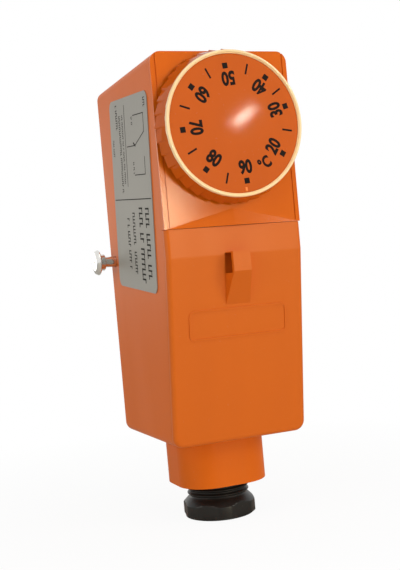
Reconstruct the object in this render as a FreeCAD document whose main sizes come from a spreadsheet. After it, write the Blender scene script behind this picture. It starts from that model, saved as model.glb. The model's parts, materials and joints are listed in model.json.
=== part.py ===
"""Surface thermostat for pipes: a moulded case with a setting knob, a tilting lower cover,
a cable gland, and inside it the bimetal drive, the range spring, the lever and the switch.

Frame in millimetres: the origin is the middle of the contact face that lies on the pipe,
X to the right seen from the front, Y away from the viewer, Z up. The front faces -Y, so
the sheet gives depths as distances in front of the contact face.
"""
import FreeCAD
import Part
import math
import os
import re
import Sketcher

V = FreeCAD.Vector

# Driving sizes in millimetres and degrees, one spreadsheet cell each.
SIZES = {
    # case
    "case_wide": 40.0,
    "case_high": 106.4,
    "case_front": 53.2,
    "pad_proud": 1.5,
    "past": 1.0,
    "case_wall": 2.0,
    "front_wall": 2.2,
    "floor_thick": 2.5,
    "case_corner": 3.0,
    "seam_high": 6.1,
    "seam_gap": 0.1,
    "side_groove_in": 1.2,
    "side_groove_wide": 0.35,
    "side_groove_deep": 0.25,
    "pointer_in": 0.5,
    "pointer_rise": 4.6,
    "pointer_proud": 0.8,
    # lower cover
    "bend_high": -1.6,
    "lean": 8.37,
    "cover_thick": 2.0,
    "cover_edge": 1.3,
    "bend_round": 4.0,
    "lip_deep": 3.0,
    "lip_thick": 1.2,
    "lip_gap": 0.25,
    "lip_foot_off": 7.0,
    "hood_top": -1.0,
    "hood_peak": -6.3,
    "hood_foot": -15.2,
    "hood_proud": 4.0,
    "hood_lead": 3.4,
    "hood_half": 3.2,
    "hood_draft": 11.0,
    "slot_deep": 4.6,
    "slot_tall": 5.4,
    "slot_open": 2.5,
    "slot_wall": 0.25,
    "frame_half": 14.5,
    "frame_top": -16.1,
    "frame_foot": -24.3,
    "frame_line": 0.5,
    "frame_proud": 0.22,
    "frame_corner": 1.7,
    # hinge of the lower cover
    "hook_fit": 0.06,
    "hook_thick": 1.15,
    "hook_wide": 5.0,
    "hook_in": 8.0,
    "hook_side_gap": 0.3,
    "hook_clear": 0.3,
    "hook_tip": 25.0,
    "hook_wrap": 210.0,
    # cable boss and gland
    "boss_wide": 26.5,
    "boss_corner": 9.5,
    "boss_long": 14.3,
    "boss_in": 29.3,
    "gland_bore": 9.2,
    "gland_fit": 0.05,
    "cable_hole": 6.0,
    "seal_shoulder": 3.0,
    "neck_show": 3.0,
    "shank_in": 3.6,
    "seal_thick": 4.0,
    "cone_long": 3.1,
    "hex_flats": 20.0,
    "hex_long": 4.4,
    "hex_chamfer": 0.7,
    "hex_turn": 12.0,
    "cable_bore": 5.0,
    "washer_thick": 0.8,
    "ring_fit": 0.25,
    # back plate and sensing plate
    "plate_thick": 1.5,
    "plate_fit": 0.1,
    "sense_wide": 22.0,
    "sense_in": 11.2,
    "sense_edge": 0.8,
    "ear_wide": 12.0,
    "ear_high": 7.0,
    "ear_thick": 1.2,
    "post_wide": 8.0,
    "post_long": 9.0,
    "post_screw_in": 4.5,
    "case_screw": 1.5,
    "case_screw_long": 8.0,
    "case_screw_short": 0.2,
    "case_head": 2.7,
    "case_head_tall": 1.2,
    # strap studs
    "stud_front": 5.5,
    "stud_stem": 1.6,
    "stud_hole_fit": 0.1,
    "stud_collar": 2.5,
    "stud_collar_at": 3.6,
    "stud_collar_long": 1.7,
    "stud_head": 3.9,
    "stud_head_long": 1.35,
    "stud_head_edge": 0.54,
    "stud_head_round": 0.78,
    # knob
    "knob_in": 20.7,
    "knob_rim": 19.56,
    "knob_rim_proud": 6.2,
    "knob_skirt": 20.9,
    "knob_tooth": 0.55,
    "tooth_at_rim": 0.055,
    "tooth_lead": 1.2,
    "knob_gap": 1.75,
    "knob_wall": 1.4,
    "knob_ribs": 36,
    "dial_rise": 0.4,
    "dial_thick": 1.8,
    "ring_wide": 1.0,
    "ring_tall": 0.93,
    "ring_edge": 0.06,
    "ring_seat": 0.4,
    "hub_radius": 5.5,
    "hub_gap": 0.7,
    "web_in": 1.0,
    # spindle and bush
    "spindle_radius": 3.0,
    "spindle_flat": 0.7,
    "spindle_fit": 0.05,
    "spindle_in": 4.6,
    "spindle_hole_fit": 0.4,
    "bush_radius": 5.0,
    "bush_flange": 7.0,
    "bush_flange_thick": 1.0,
    "bush_long": 4.6,
    "collar_radius": 5.0,
    "collar_long": 1.2,
    "clip_radius": 5.2,
    "clip_thick": 0.8,
    "clip_groove": 0.6,
    "clip_mouth": 1.8,
    "end_gap": 0.08,
    "screw_radius": 2.0,
    "screw_fit": 0.06,
    "screw_point": 0.5,
    "screw_past": 2.4,
    # chassis
    "chassis_side_gap": 1.7,
    "sheet": 1.2,
    "chassis_gap": 5.2,
    "chassis_top_gap": 3.2,
    "chassis_drop": 15.5,
    "chassis_long": 64.0,
    "foot_long": 6.0,
    "foot_high": 9.0,
    "foot_in": 14.0,
    "foot_screw": 1.2,
    "foot_screw_head": 2.2,
    "foot_head_tall": 1.3,
    # range nut, spring and lever
    "nut_off": 13.4,
    "nut_thick": 4.0,
    "nut_high": 9.0,
    "nut_fit": 0.1,
    "pilot_long": 0.9,
    "spring_radius": 4.2,
    "spring_wire": 0.6,
    "spring_turns": 5.0,
    "spring_gap": 0.1,
    "lever_off": 14.6,
    "lever_thick": 1.2,
    "lever_half": 5.0,
    "lever_rise": 9.5,
    "lever_past": 2.6,
    "lever_cheek": 3.0,
    "pivot_drop": 14.5,
    "pivot_back": 2.6,
    "pivot_radius": 1.0,
    "pivot_fit": 0.05,
    "pivot_head": 1.8,
    "pivot_head_long": 0.8,
    # bimetal
    "strip_thick": 0.8,
    "strip_wide": 9.0,
    "strip_in": 4.0,
    "strip_flat": 14.0,
    "strip_off": 3.4,
    "rivet_radius": 1.2,
    "rivet_head": 2.0,
    "rivet_head_tall": 0.8,
    "rivet_in": 5.0,
    "adjust_in": 4.0,
    "adjust_radius": 1.25,
    "adjust_gap": 1.3,
    "adjust_back": 1.2,
    "adjust_head": 2.2,
    "adjust_head_tall": 1.2,
    # switch and terminals
    "switch_gap": 1.8,
    "switch_over": 4.0,
    "switch_high": 26.0,
    "switch_fit": 0.1,
    "plunger_drop": 9.0,
    "plunger_radius": 1.3,
    "plunger_fit": 0.05,
    "plunger_gap": 0.06,
    "plunger_long": 7.0,
    "plunger_room": 1.0,
    "plunger_point": 0.65,
    "mount_screw_at": 4.0,
    "block_gap": 5.2,
    "block_half": 14.0,
    "block_deep": 8.0,
    "block_drop": 10.0,
    "block_high": 14.0,
    "block_wall": 1.5,
    "terminal_step": 9.0,
    "terminal_wide": 6.6,
    "terminal_high": 8.0,
    "terminal_deep": 6.6,
    "terminal_fit": 0.15,
    "wire_hole": 1.5,
    "wire_floor": 0.7,
    "terminal_screw": 1.5,
    "terminal_head": 2.6,
    "terminal_head_tall": 1.6,
    "terminal_lift": 0.4,
    "slot_cut": 0.6,
    "slot_cut_deep": 0.7,
    "earth_in": 10.1,
    "earth_over": 13.2,
    # rating label
    "label_margin": 17.2,
    "label_high": 55.0,
    "label_corner": 2.5,
    "label_thick": 0.25,
    "label_ahead": 1.65,
    "label_drop": 34.9,
    "label_turn": 5.5,
}

doc = FreeCAD.newDocument("surface_thermostat")
sheet = doc.addObject("Spreadsheet::Sheet", "Sizes")
for row, (alias, value) in enumerate(SIZES.items(), start=1):
    sheet.set("A%d" % row, alias)
    sheet.set("B%d" % row, repr(value))
    sheet.setAlias("B%d" % row, alias)
doc.recompute()


# Places and lengths that follow from the sizes above.
FOLLOWS = {
    "boss_front": "(case_front - boss_in)",
    "hook_at": "(case_wide / 2 - hook_in)",
    "sense_high": "(case_high - 2 * sense_in)",
    "knob_high": "(case_high / 2 - knob_in)",
    "chassis_half": "(case_wide / 2 - case_wall - chassis_side_gap)",
    "chassis_front": "(case_front - front_wall - chassis_gap)",
    "chassis_top": "(case_high / 2 - case_wall - chassis_top_gap)",
    "chassis_fold": "(knob_high - chassis_drop)",
    "chassis_foot": "(chassis_top - chassis_long)",
    "foot_at": "(chassis_top - foot_in)",
    "lever_front": "(pad_proud + plate_thick + lever_off)",
    "lever_top": "(knob_high + lever_rise)",
    "lever_foot": "(plunger_high - lever_past)",
    "pivot_high": "(knob_high - pivot_drop)",
    "pivot_front": "(lever_front - pivot_back)",
    "plunger_high": "(pivot_high - plunger_drop)",
    "nut_front": "(lever_front + nut_off)",
    "strip_foot": "(chassis_foot + strip_in)",
    "strip_fold": "(strip_foot + strip_flat)",
    "strip_top": "lever_top",
    "adjust_high": "(strip_top - adjust_in)",
    "block_front": "(case_front - cover_thick - block_gap)",
    "block_top": "(switch_top - block_drop)",
    "block_foot": "(block_top - block_high)",
    "switch_front": "(block_front - block_deep)",
    "switch_back": "(lever_front + switch_gap)",
    "switch_top": "(plunger_high + switch_over)",
    "switch_foot": "(switch_top - switch_high)",
    "switch_middle": "(switch_top - switch_high / 2)",
    "earth_at": "(earth_in - chassis_half)",
    "earth_high": "(earth_over - case_high / 2)",
    "label_wide": "(case_front - pad_proud - label_margin)",
    "label_front": "((case_front + pad_proud) / 2 + label_ahead)",
    "label_up": "(case_high / 2 - label_drop)",
}


def bound(text):
    """Expression in which every size is read from the sheet and every place is written out."""
    def read(match):
        name = match[0]
        if name in FOLLOWS:
            return bound(FOLLOWS[name])
        return "Sizes." + name if name in SIZES else name

    return re.sub(r"[A-Za-z_]\w*", read, text)


def size(alias):
    """Value of one size, as the sheet holds it."""
    return float(sheet.get(alias))


def bind(thing, **rules):
    """Ties properties to the sheet; two underscores stand for a dot."""
    for name, text in rules.items():
        thing.setExpression(name.replace("__", "."), bound(text))
    return thing


def stand(thing, across="0", ahead="0", up="0", axis=V(0, 0, 1), turn=0.0):
    """Places a primitive to the right, ahead of the contact face and up; a turn given as text is bound."""
    thing.Placement = FreeCAD.Placement(
        V(0, 0, 0), FreeCAD.Rotation(axis, 1 if isinstance(turn, str) else turn),
    )
    if isinstance(turn, str):
        bind(thing, Placement__Rotation__Angle=turn)
    bind(thing, Placement__Base__x=across, Placement__Base__y="-(%s)" % ahead, Placement__Base__z=up)
    return thing


def block(name, left, right, back, front, foot, top):
    """Box between six faces."""
    thing = doc.addObject("Part::Box", name)
    bind(thing, Length="(%s) - (%s)" % (right, left))
    bind(thing, Width="(%s) - (%s)" % (front, back))
    bind(thing, Height="(%s) - (%s)" % (top, foot))
    return stand(thing, left, front, foot)


def rod(name, radius, back, front, across="0", up="0"):
    """Cylinder along Y between two depths."""
    thing = doc.addObject("Part::Cylinder", name)
    bind(thing, Radius=radius, Height="(%s) - (%s)" % (front, back))
    return stand(thing, across, back, up, V(1, 0, 0), 90)


def bar(name, radius, left, right, ahead, up):
    """Cylinder along X between two sides."""
    thing = doc.addObject("Part::Cylinder", name)
    bind(thing, Radius=radius, Height="(%s) - (%s)" % (right, left))
    return stand(thing, left, ahead, up, V(0, 1, 0), 90)


def column(name, radius, foot, top, across="0", ahead="0"):
    """Cylinder along Z between two heights."""
    thing = doc.addObject("Part::Cylinder", name)
    bind(thing, Radius=radius, Height="(%s) - (%s)" % (top, foot))
    return stand(thing, across, ahead, foot)


def cut(name, base, *tools):
    """Base less each of the tools."""
    for at, tool in enumerate(tools, start=1):
        part = doc.addObject("Part::Cut", name if at == len(tools) else "%s_cut_%d" % (name, at))
        part.Base = base
        part.Tool = tool
        base = part
    return base


def join(name, *pieces):
    """Pieces joined to one solid."""
    part = doc.addObject("Part::MultiFuse", name)
    part.Shapes = list(pieces)
    part.Refine = True
    return part


def shared(name, first, second):
    """What two solids have in common."""
    part = doc.addObject("Part::Common", name)
    part.Base = first
    part.Tool = second
    return part


def new_body(name):
    """Empty body of that name."""
    return doc.addObject("PartDesign::Body", name)


def new_sketch(body, name, role, ahead="0", up="0", lean=None):
    """Sketch on an origin plane of its own body, moved out along the plane's normal."""
    sketch = body.newObject("Sketcher::SketchObject", name)
    plane = [item for item in body.Origin.OriginFeatures if item.Role == role][0]
    sketch.AttachmentSupport = [(plane, "")]
    sketch.MapMode = "FlatFace"
    turn = FreeCAD.Rotation(V(1, 0, 0), 1)
    sketch.AttachmentOffset = FreeCAD.Placement(V(0, 0, 0), turn if lean else FreeCAD.Rotation())
    bind(sketch, AttachmentOffset__Base__z=ahead, AttachmentOffset__Base__y=up)
    if lean:
        bind(sketch, AttachmentOffset__Rotation__Angle=lean)
    return sketch


def hold(sketch, kind, item, point, text):
    """One dimension from the sketch's origin, tied to the sheet."""
    at = sketch.addConstraint(Sketcher.Constraint(kind, -1, 1, item, point, 1.0))
    sketch.setExpression("Constraints[%d]" % at, bound(text))


def outline(sketch, corners):
    """Closed run of lines whose corners are all tied to the sheet."""
    first = sketch.GeometryCount
    count = len(corners)
    ring = [V(math.cos(math.tau * k / count), math.sin(math.tau * k / count), 0) for k in range(count)]
    for k in range(count):
        sketch.addGeometry(Part.LineSegment(ring[k], ring[(k + 1) % count]), False)
    for k in range(count):
        sketch.addConstraint(Sketcher.Constraint("Coincident", first + k, 2, first + (k + 1) % count, 1))
    for k, (across, up) in enumerate(corners):
        hold(sketch, "DistanceX", first + k, 1, across)
        hold(sketch, "DistanceY", first + k, 1, up)


def oblong(sketch, left, right, foot, top):
    """Upright rectangle between four lines."""
    outline(sketch, [(left, foot), (right, foot), (right, top), (left, top)])


def side_view(body, name, corners, both):
    """Profile drawn in the side view from depths and heights, made as wide as given."""
    sketch = new_sketch(body, name + "_sketch", "YZ_Plane")
    outline(sketch, [("-(%s)" % ahead, up) for ahead, up in corners])
    return raised(body, name, sketch, both, True)


def raised(body, name, sketch, length, both=False, kind="PartDesign::Pad"):
    """Pad or pocket of a sketch."""
    feature = body.newObject(kind, name)
    feature.Profile = sketch
    feature.SideType = "Symmetric" if both else "One side"
    bind(feature, Length=length)
    return feature


def rounded(body, name, feature, radius, chosen, kind="PartDesign::Fillet"):
    """Fillet or chamfer on the edges of a feature that the test picks."""
    doc.recompute()
    names = ["Edge%d" % at for at, edge in enumerate(feature.Shape.Edges, start=1) if chosen(edge)]
    dressed = body.newObject(kind, name)
    dressed.Base = (feature, names)
    bind(dressed, **{"Radius" if kind.endswith("Fillet") else "Size": radius})
    return dressed


def spun(body, name, corners, role="XY_Plane", across="0"):
    """Profile turned once round the body's upright or lying axis."""
    sketch = new_sketch(body, name + "_sketch", role, across)
    outline(sketch, corners)
    feature = body.newObject("PartDesign::Revolution", name)
    feature.Profile = sketch
    feature.ReferenceAxis = (sketch, ["V_Axis"])
    feature.Angle = 360
    return feature


def runs(edge, axis):
    """True for a straight edge along the axis 0, 1 or 2."""
    ends = [v.Point for v in edge.Vertexes]
    if len(ends) < 2:
        return False
    step = ends[1] - ends[0]
    return edge.Curve.TypeId == "Part::GeomLine" and abs(abs(step[axis]) - step.Length) < 1e-6


def middle(edge):
    """Middle of an edge."""
    return edge.BoundBox.Center


# Places that several pieces share.
HALF = "case_wide / 2"
TOP = "case_high / 2"
FOOT = "(-case_high / 2)"
INNER = "(case_wide / 2 - case_wall)"
BEHIND = "(cover_thick + seam_gap)"
COVER_FOOT = "(case_front - (bend_high + case_high / 2) * tan(lean))"
EDGE_FOOT = "(%s - %s / cos(lean))" % (COVER_FOOT, BEHIND)
PIN_UP = "(-case_high / 2 + floor_thick / 2)"
PIN_AHEAD = "(%s + floor_thick / 2 * (tan(lean) - 1 / cos(lean)))" % EDGE_FOOT
PLATE_FRONT = "(pad_proud + plate_thick)"
BOSS_FOOT = "(-case_high / 2 - boss_long)"
CHEEK = "(chassis_half - sheet)"
BUSH_BACK = "(chassis_front - sheet - bush_flange_thick)"
BUSH_FRONT = "(%s + bush_long)" % BUSH_BACK
TOE = "floor_thick / 2"
NEAR = 1e-3


# Housing: side profile, rounded outside, hollowed from the back and open below the seam.
form = new_body("housing_form")
shell = side_view(form, "housing_side", [
    ("pad_proud", FOOT),
    ("pad_proud", TOP),
    ("case_front", TOP),
    ("case_front", "seam_high"),
    ("case_front - %s" % BEHIND, "seam_high"),
    ("case_front - %s" % BEHIND, "bend_high + %s * tan(lean / 2)" % BEHIND),
    (EDGE_FOOT, FOOT),
], "case_wide")
rounded(form, "housing_corners", shell, "case_corner",
        lambda e: runs(e, 1) and abs(middle(e).z) > size("case_high") / 2 - NEAR)
cavity = new_sketch(form, "housing_cavity_sketch", "XZ_Plane", "pad_proud")
oblong(cavity, "-" + INNER, INNER, "%s + floor_thick" % FOOT, "%s - case_wall" % TOP)
hollow = raised(
    form, "housing_cavity", cavity, "case_front - pad_proud - front_wall",
    kind="PartDesign::Pocket",
)
hollow.Reversed = True
mouth = new_sketch(form, "housing_mouth_sketch", "XZ_Plane", "pad_proud")
oblong(mouth, "-" + INNER, INNER, "%s + floor_thick" % FOOT, "seam_high")
opened = raised(form, "housing_mouth", mouth, "case_front", kind="PartDesign::Pocket")
opened.Reversed = True
grooves = new_sketch(form, "side_groove_sketch", "XZ_Plane", "case_front")
for hand in ("-", ""):
    outer = "%s(case_wide / 2 - side_groove_in)" % hand
    inner = "%s(case_wide / 2 - side_groove_in - side_groove_wide)" % hand
    outline(
        grooves,
        [
            (outer, "seam_high - past"), (inner, "seam_high - past"),
            (inner, "%s + past" % TOP), (outer, "%s + past" % TOP),
        ],
    )
grooved = raised(form, "side_grooves", grooves, "side_groove_deep", kind="PartDesign::Pocket")


def pointer_wedge():
    """Flat three-sided pointer whose foot lies on the seam."""
    ahead = -size("case_front")
    foot = size("seam_high")
    half = size("case_wide") / 2 - size("pointer_in")
    root = size("front_wall") / 2
    points = [V(-half, ahead, foot), V(half, ahead, foot), V(0, ahead, foot + size("pointer_rise"))]
    crest = V(0, ahead - size("pointer_proud"), foot)
    sunk = [point + V(0, root, 0) for point in points]
    faces = [
        [points[0], crest, points[2]],
        [crest, points[1], points[2]],
        [points[0], points[1], crest],
        [sunk[0], sunk[2], sunk[1]],
        [points[0], sunk[0], sunk[1], points[1]],
        [points[1], sunk[1], sunk[2], points[2]],
        [points[2], sunk[2], sunk[0], points[0]],
    ]
    sides = [Part.Face(Part.makePolygon(face + face[:1])) for face in faces]
    return Part.Solid(Part.Shell(sides))


pointer = doc.addObject("Part::Feature", "pointer_wedge")
pointer.Shape = pointer_wedge()

posts = []
for side, hand in (("left", "-"), ("right", "")):
    for end, foot, top in (
        ("top", "%s - case_wall - post_wide" % TOP, "%s - case_wall / 2" % TOP),
        ("foot", "%s + floor_thick / 2" % FOOT, "%s + floor_thick + post_wide" % FOOT),
    ):
        edges = [hand + "(%s + case_wall / 2)" % INNER, hand + "(%s - post_wide)" % INNER]
        left, right = edges if hand else edges[::-1]
        posts.append(block(
            "post_%s_%s" % (end, side), left, right, PLATE_FRONT, PLATE_FRONT + " + post_long",
            foot, top,
        ))

boss = new_body("boss_form")
boss_sketch = new_sketch(boss, "boss_sketch", "XY_Plane", BOSS_FOOT)
oblong(
    boss_sketch, "-boss_wide / 2", "boss_wide / 2", "-boss_front - boss_wide / 2",
    "-boss_front + boss_wide / 2",
)
boss_pad = raised(boss, "boss_pad", boss_sketch, "boss_long + floor_thick / 2")
boss_round = rounded(boss, "boss_corners", boss_pad, "boss_corner", lambda e: runs(e, 2))

BOSS_AT = dict(across="0", ahead="boss_front")
gland_room = column(
    "gland_room", "gland_bore", "%s - past" % BOSS_FOOT, "%s - seal_shoulder" % FOOT, **BOSS_AT,
)
cable_room = column(
    "cable_room", "cable_hole", "%s - past" % BOSS_FOOT, "%s + floor_thick + past" % FOOT,
    **BOSS_AT,
)
spindle_room = rod(
    "spindle_room", "spindle_radius + spindle_hole_fit", "case_front - front_wall - past",
    "case_front + past", "0", "knob_high",
)
stud_room = bar("stud_room", "stud_stem + stud_hole_fit", "-case_wide", "case_wide", "stud_front", "0")
CASE_SCREW_X = "(%s - post_screw_in)" % INNER
CASE_SCREW_Z = {
    "top": "(%s - case_wall - post_screw_in)" % TOP,
    "foot": "(%s + floor_thick + post_screw_in)" % FOOT,
}
screw_rooms = []
for side, hand in (("left", "-"), ("right", "")):
    for end, up in CASE_SCREW_Z.items():
        screw_rooms.append(rod(
            "post_hole_%s_%s" % (end, side), "case_screw", "0",
            PLATE_FRONT + " + case_screw_long", hand + CASE_SCREW_X, up,
        ))
hook_rooms = []
HOOK_OUT = "(floor_thick / 2 + hook_fit + hook_thick)"
for side, hand in (("left", "-"), ("right", "")):
    left = "%shook_at - hook_wide / 2 - hook_side_gap" % hand
    right = "%shook_at + hook_wide / 2 + hook_side_gap" % hand
    wide = bar("hook_room_out_" + side, "%s + hook_clear" % HOOK_OUT, left, right, PIN_AHEAD, PIN_UP)
    core = bar("hook_room_core_" + side, TOE, left, right, PIN_AHEAD, PIN_UP)
    hook_rooms.append(cut("hook_room_" + side, wide, core))
housing_solid = join("housing_solid", form, pointer, boss, *posts)
toe_low = block(
    "toe_low", "-case_wide", "case_wide", PIN_AHEAD, PIN_AHEAD + " + 2 * floor_thick",
    FOOT + " - past", PIN_UP,
)
toe_high = block(
    "toe_high", "-" + INNER, INNER, PIN_AHEAD, PIN_AHEAD + " + 2 * floor_thick", PIN_UP,
    PIN_UP + " + floor_thick",
)
toe_round = bar("toe_round", TOE, "-case_wide", "case_wide", PIN_AHEAD, PIN_UP)
toe_room = cut("toe_room", join("toe_block", toe_low, toe_high), toe_round)
housing = cut(
    "housing", housing_solid, gland_room, cable_room, spindle_room, stud_room, *screw_rooms,
    *hook_rooms, toe_room,
)

# Lower cover: bent plate with lips, foot hooks, pry hood and plain raised frame line.
cover = new_body("cover_form")
plate = side_view(cover, "cover_plate", [
    ("case_front", "seam_high - seam_gap"),
    ("case_front", "bend_high"),
    (COVER_FOOT, FOOT),
    ("%s - cover_thick / cos(lean)" % COVER_FOOT, FOOT),
    ("case_front - cover_thick", "bend_high + cover_thick * tan(lean / 2)"),
    ("case_front - cover_thick", "seam_high - seam_gap"),
], "case_wide")
plate = rounded(
    cover, "cover_bend", plate, "bend_round",
    lambda e: runs(e, 0) and abs(middle(e).z - size("bend_high")) < 0.01,
)
plate = rounded(cover, "cover_corners", plate, "case_corner",
                lambda e: runs(e, 1) and middle(e).z < NEAR - size("case_high") / 2)


def on_front(edge):
    """True for a side edge of the cover's outer face."""
    point = middle(edge)
    drop = max(0.0, size("bend_high") - point.z)
    ahead = size("case_front") - drop * math.tan(math.radians(size("lean")))
    at_side = abs(point.x) > size("case_wide") / 2 - NEAR
    if not at_side or edge.Length < 2 * size("cover_thick"):
        return False
    return abs(point.y + ahead) < size("cover_thick") / 4


plate = rounded(cover, "cover_edges", plate, "cover_edge", on_front)
LIP_HALF = "(%s - lip_gap)" % INNER


def lip_line(drop, back):
    """Side profile of the lips: a band behind the plate, less a margin at its top."""
    slope = "(case_front - (bend_high - (%s + lip_foot_off)) * tan(lean))" % FOOT
    bend = "bend_high + cover_thick * tan(lean / 2)"
    return [
        ("case_front - cover_thick / 2", "seam_high - seam_gap - " + drop),
        ("case_front - cover_thick / 2", bend),
        ("%s - cover_thick / 2" % slope, "%s + lip_foot_off" % FOOT),
        ("%s - cover_thick - %s" % (slope, back), "%s + lip_foot_off" % FOOT),
        ("case_front - cover_thick - " + back, bend),
        ("case_front - cover_thick - " + back, "seam_high - seam_gap - " + drop),
    ]


lips = new_body("cover_lips")
lips_solid = side_view(lips, "lips_band", lip_line("lip_gap", "lip_deep"), "2 * %s" % LIP_HALF)
band = new_sketch(lips, "lips_core_sketch", "XZ_Plane", "0")
oblong(
    band, "-%s + lip_thick" % LIP_HALF, "%s - lip_thick" % LIP_HALF, "%s - past" % FOOT,
    "seam_high - seam_gap - lip_gap - lip_thick",
)
band_cut = raised(lips, "lips_core", band, "case_front * 2", kind="PartDesign::Pocket")
band_cut.Reversed = True

hood_side = new_body("hood_side_form")
hood_face = "(case_front - (bend_high - hood_peak) * tan(lean))"
hood_end = "(case_front - (bend_high - hood_foot) * tan(lean))"
side_view(hood_side, "hood_profile", [
    ("case_front - cover_thick / 2", "hood_top"),
    ("case_front + hood_lead", "hood_top"),
    ("%s + hood_proud" % hood_face, "hood_peak"),
    (hood_end, "hood_foot"),
    ("%s - cover_thick / 2" % hood_end, "hood_foot"),
], "4 * hood_half")


def hood_draft():
    """Upright wedge that gives the hood its leaning sides."""
    half = size("hood_half")
    slope = math.tan(math.radians(size("hood_draft")))
    back = size("case_front") - size("case_wall") * 2
    front = size("case_front") + size("hood_proud") * 2
    tight = half - (front - size("case_front")) * slope
    loose = half + (size("case_front") - back) * slope
    foot = size("hood_foot") - size("cover_thick")
    rise = V(0, 0, size("hood_top") - foot + size("cover_thick"))
    ring = [
        V(-loose, -back, foot), V(loose, -back, foot), V(tight, -front, foot),
        V(-tight, -front, foot),
    ]
    return Part.Face(Part.makePolygon(ring + ring[:1])).extrude(rise)


draft = doc.addObject("Part::Feature", "hood_draft_form")
draft.Shape = hood_draft()
hood_solid = shared("hood_solid", hood_side, draft)
hood_slot = block(
    "hood_slot", "-hood_half - slot_wall", "-hood_half + slot_deep",
    hood_face + " - slot_wall", "case_front + slot_open",
    "hood_top - slot_tall - slot_wall", "hood_top - slot_wall",
)

frame = new_body("frame_form")
SLOPE_AT = "(bend_high - %s) / cos(lean)"
frame_sketch = new_sketch(frame, "frame_sketch", "XZ_Plane", "case_front", "bend_high", "lean")
ride_top = "-(%s)" % (SLOPE_AT % "frame_top")
ride_foot = "-(%s)" % (SLOPE_AT % "frame_foot")
oblong(frame_sketch, "-frame_half", "frame_half", ride_foot, ride_top)
frame_pad = raised(frame, "frame_pad", frame_sketch, "2 * frame_proud", True)
frame_round = rounded(
    frame, "frame_corners", frame_pad, "frame_corner",
    lambda e: abs(middle(e).x) > size("frame_half") - 1e-3 and e.Length < 3 * size("frame_proud"),
)
frame_core = new_body("frame_core_form")
core_sketch = new_sketch(frame_core, "frame_core_sketch", "XZ_Plane", "case_front", "bend_high", "lean")
oblong(
    core_sketch, "-frame_half + frame_line", "frame_half - frame_line",
    ride_foot + " + frame_line", ride_top + " - frame_line",
)
core_pad = raised(frame_core, "frame_core_pad", core_sketch, "4 * frame_proud", True)
rounded(
    frame_core, "frame_core_corners", core_pad, "frame_corner - frame_line",
    lambda e: abs(middle(e).x) > size("frame_half") - size("frame_line") - 1e-3
    and e.Length < 5 * size("frame_proud"),
)
frame_line = cut("frame_line_solid", frame, frame_core)

hooks = []
for side, hand in (("left", "-"), ("right", "")):
    left = "%shook_at - hook_wide / 2" % hand
    right = "%shook_at + hook_wide / 2" % hand
    sector = bar("hook_sector_" + side, HOOK_OUT, left, right, PIN_AHEAD, PIN_UP)
    bind(sector, Angle="hook_wrap")
    sector.Placement.Rotation = FreeCAD.Rotation(
        V(1, 0, 0), 90 - size("hook_tip"),
    ) * sector.Placement.Rotation
    core = bar("hook_eye_" + side, TOE + " + hook_fit", left, right, PIN_AHEAD, PIN_UP)
    hooks.append(cut("hook_" + side, sector, core))
cover_solid = join("cover_solid", cover, lips, hood_solid, frame_line, *hooks)
lower_cover = cut("lower_cover", cover_solid, hood_slot)

# Knob: ribbed skirt drawn in towards the rim, dial disc, hub with a flatted bore, pale ring.


def knob_skirt():
    """Ruled skirt between a saw-toothed outline at its foot and a plain one at its rim."""
    count = int(size("knob_ribs"))
    back = size("case_front") + size("knob_gap")
    front = size("case_front") + size("knob_rim_proud")
    lead = math.radians(size("tooth_lead"))
    axis = size("case_high") / 2 - size("knob_in")
    outlines = []
    for ahead, ridge, tooth in (
        (back, size("knob_skirt"), size("knob_tooth")),
        (front, size("knob_rim"), size("tooth_at_rim")),
    ):
        ring = []
        for k in range(count):
            turn = math.tau * k / count
            for far, at in ((ridge, turn), (ridge - tooth, turn + lead)):
                ring.append(V(far * math.cos(at), -ahead, axis + far * math.sin(at)))
        outlines.append(Part.makePolygon(ring + ring[:1]))
    return Part.makeLoft(outlines, True, True)


skirt = doc.addObject("Part::Feature", "knob_skirt_form")
skirt.Shape = knob_skirt()
SKIRT_TOP = "(case_front + knob_rim_proud)"
DIAL = "(%s + dial_rise)" % SKIRT_TOP
RING_OUT = "(knob_rim - ring_edge)"
RING_IN = "(%s - ring_wide)" % RING_OUT
HUB_BACK = "(case_front + hub_gap)"
SPINDLE_END = "(%s + spindle_in)" % HUB_BACK
dial_disc = rod("dial_disc", RING_IN, SKIRT_TOP + " - dial_thick / 2", DIAL, "0", "knob_high")
knob_room = rod(
    "knob_room", "knob_rim - knob_wall", "case_front", DIAL + " - dial_thick", "0", "knob_high",
)
hub = rod("knob_hub", "hub_radius", HUB_BACK, DIAL + " - dial_thick / 2", "0", "knob_high")
web_up = block(
    "knob_web_up", "-knob_wall / 2", "knob_wall / 2", "case_front + knob_gap + web_in",
    DIAL + " - dial_thick / 2", "knob_high - knob_rim + knob_wall / 2",
    "knob_high + knob_rim - knob_wall / 2",
)
web_across = block(
    "knob_web_across", "-knob_rim + knob_wall / 2", "knob_rim - knob_wall / 2",
    "case_front + knob_gap + web_in", DIAL + " - dial_thick / 2", "knob_high - knob_wall / 2",
    "knob_high + knob_wall / 2",
)
ring_out = rod(
    "ring_groove_out", RING_OUT, SKIRT_TOP + " - ring_seat", DIAL + " + ring_tall", "0",
    "knob_high",
)
ring_in = rod(
    "ring_groove_in", RING_IN, SKIRT_TOP + " - 2 * ring_seat", DIAL + " + 2 * ring_tall", "0",
    "knob_high",
)
ring_room = cut("ring_groove", ring_out, ring_in)
bore = rod("knob_bore", "spindle_radius", "case_front", SPINDLE_END, "0", "knob_high")
flat = block(
    "knob_flat", "-case_wide", "case_wide", "0", "2 * case_front",
    "knob_high + spindle_radius - spindle_flat", "knob_high + case_wide",
)
bore_flat = cut("knob_bore_flat", bore, flat)
knob_solid = join("knob_solid", cut("knob_cup", skirt, knob_room), dial_disc, hub, web_up, web_across)
knob = cut("knob", knob_solid, ring_room, bore_flat)

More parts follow.
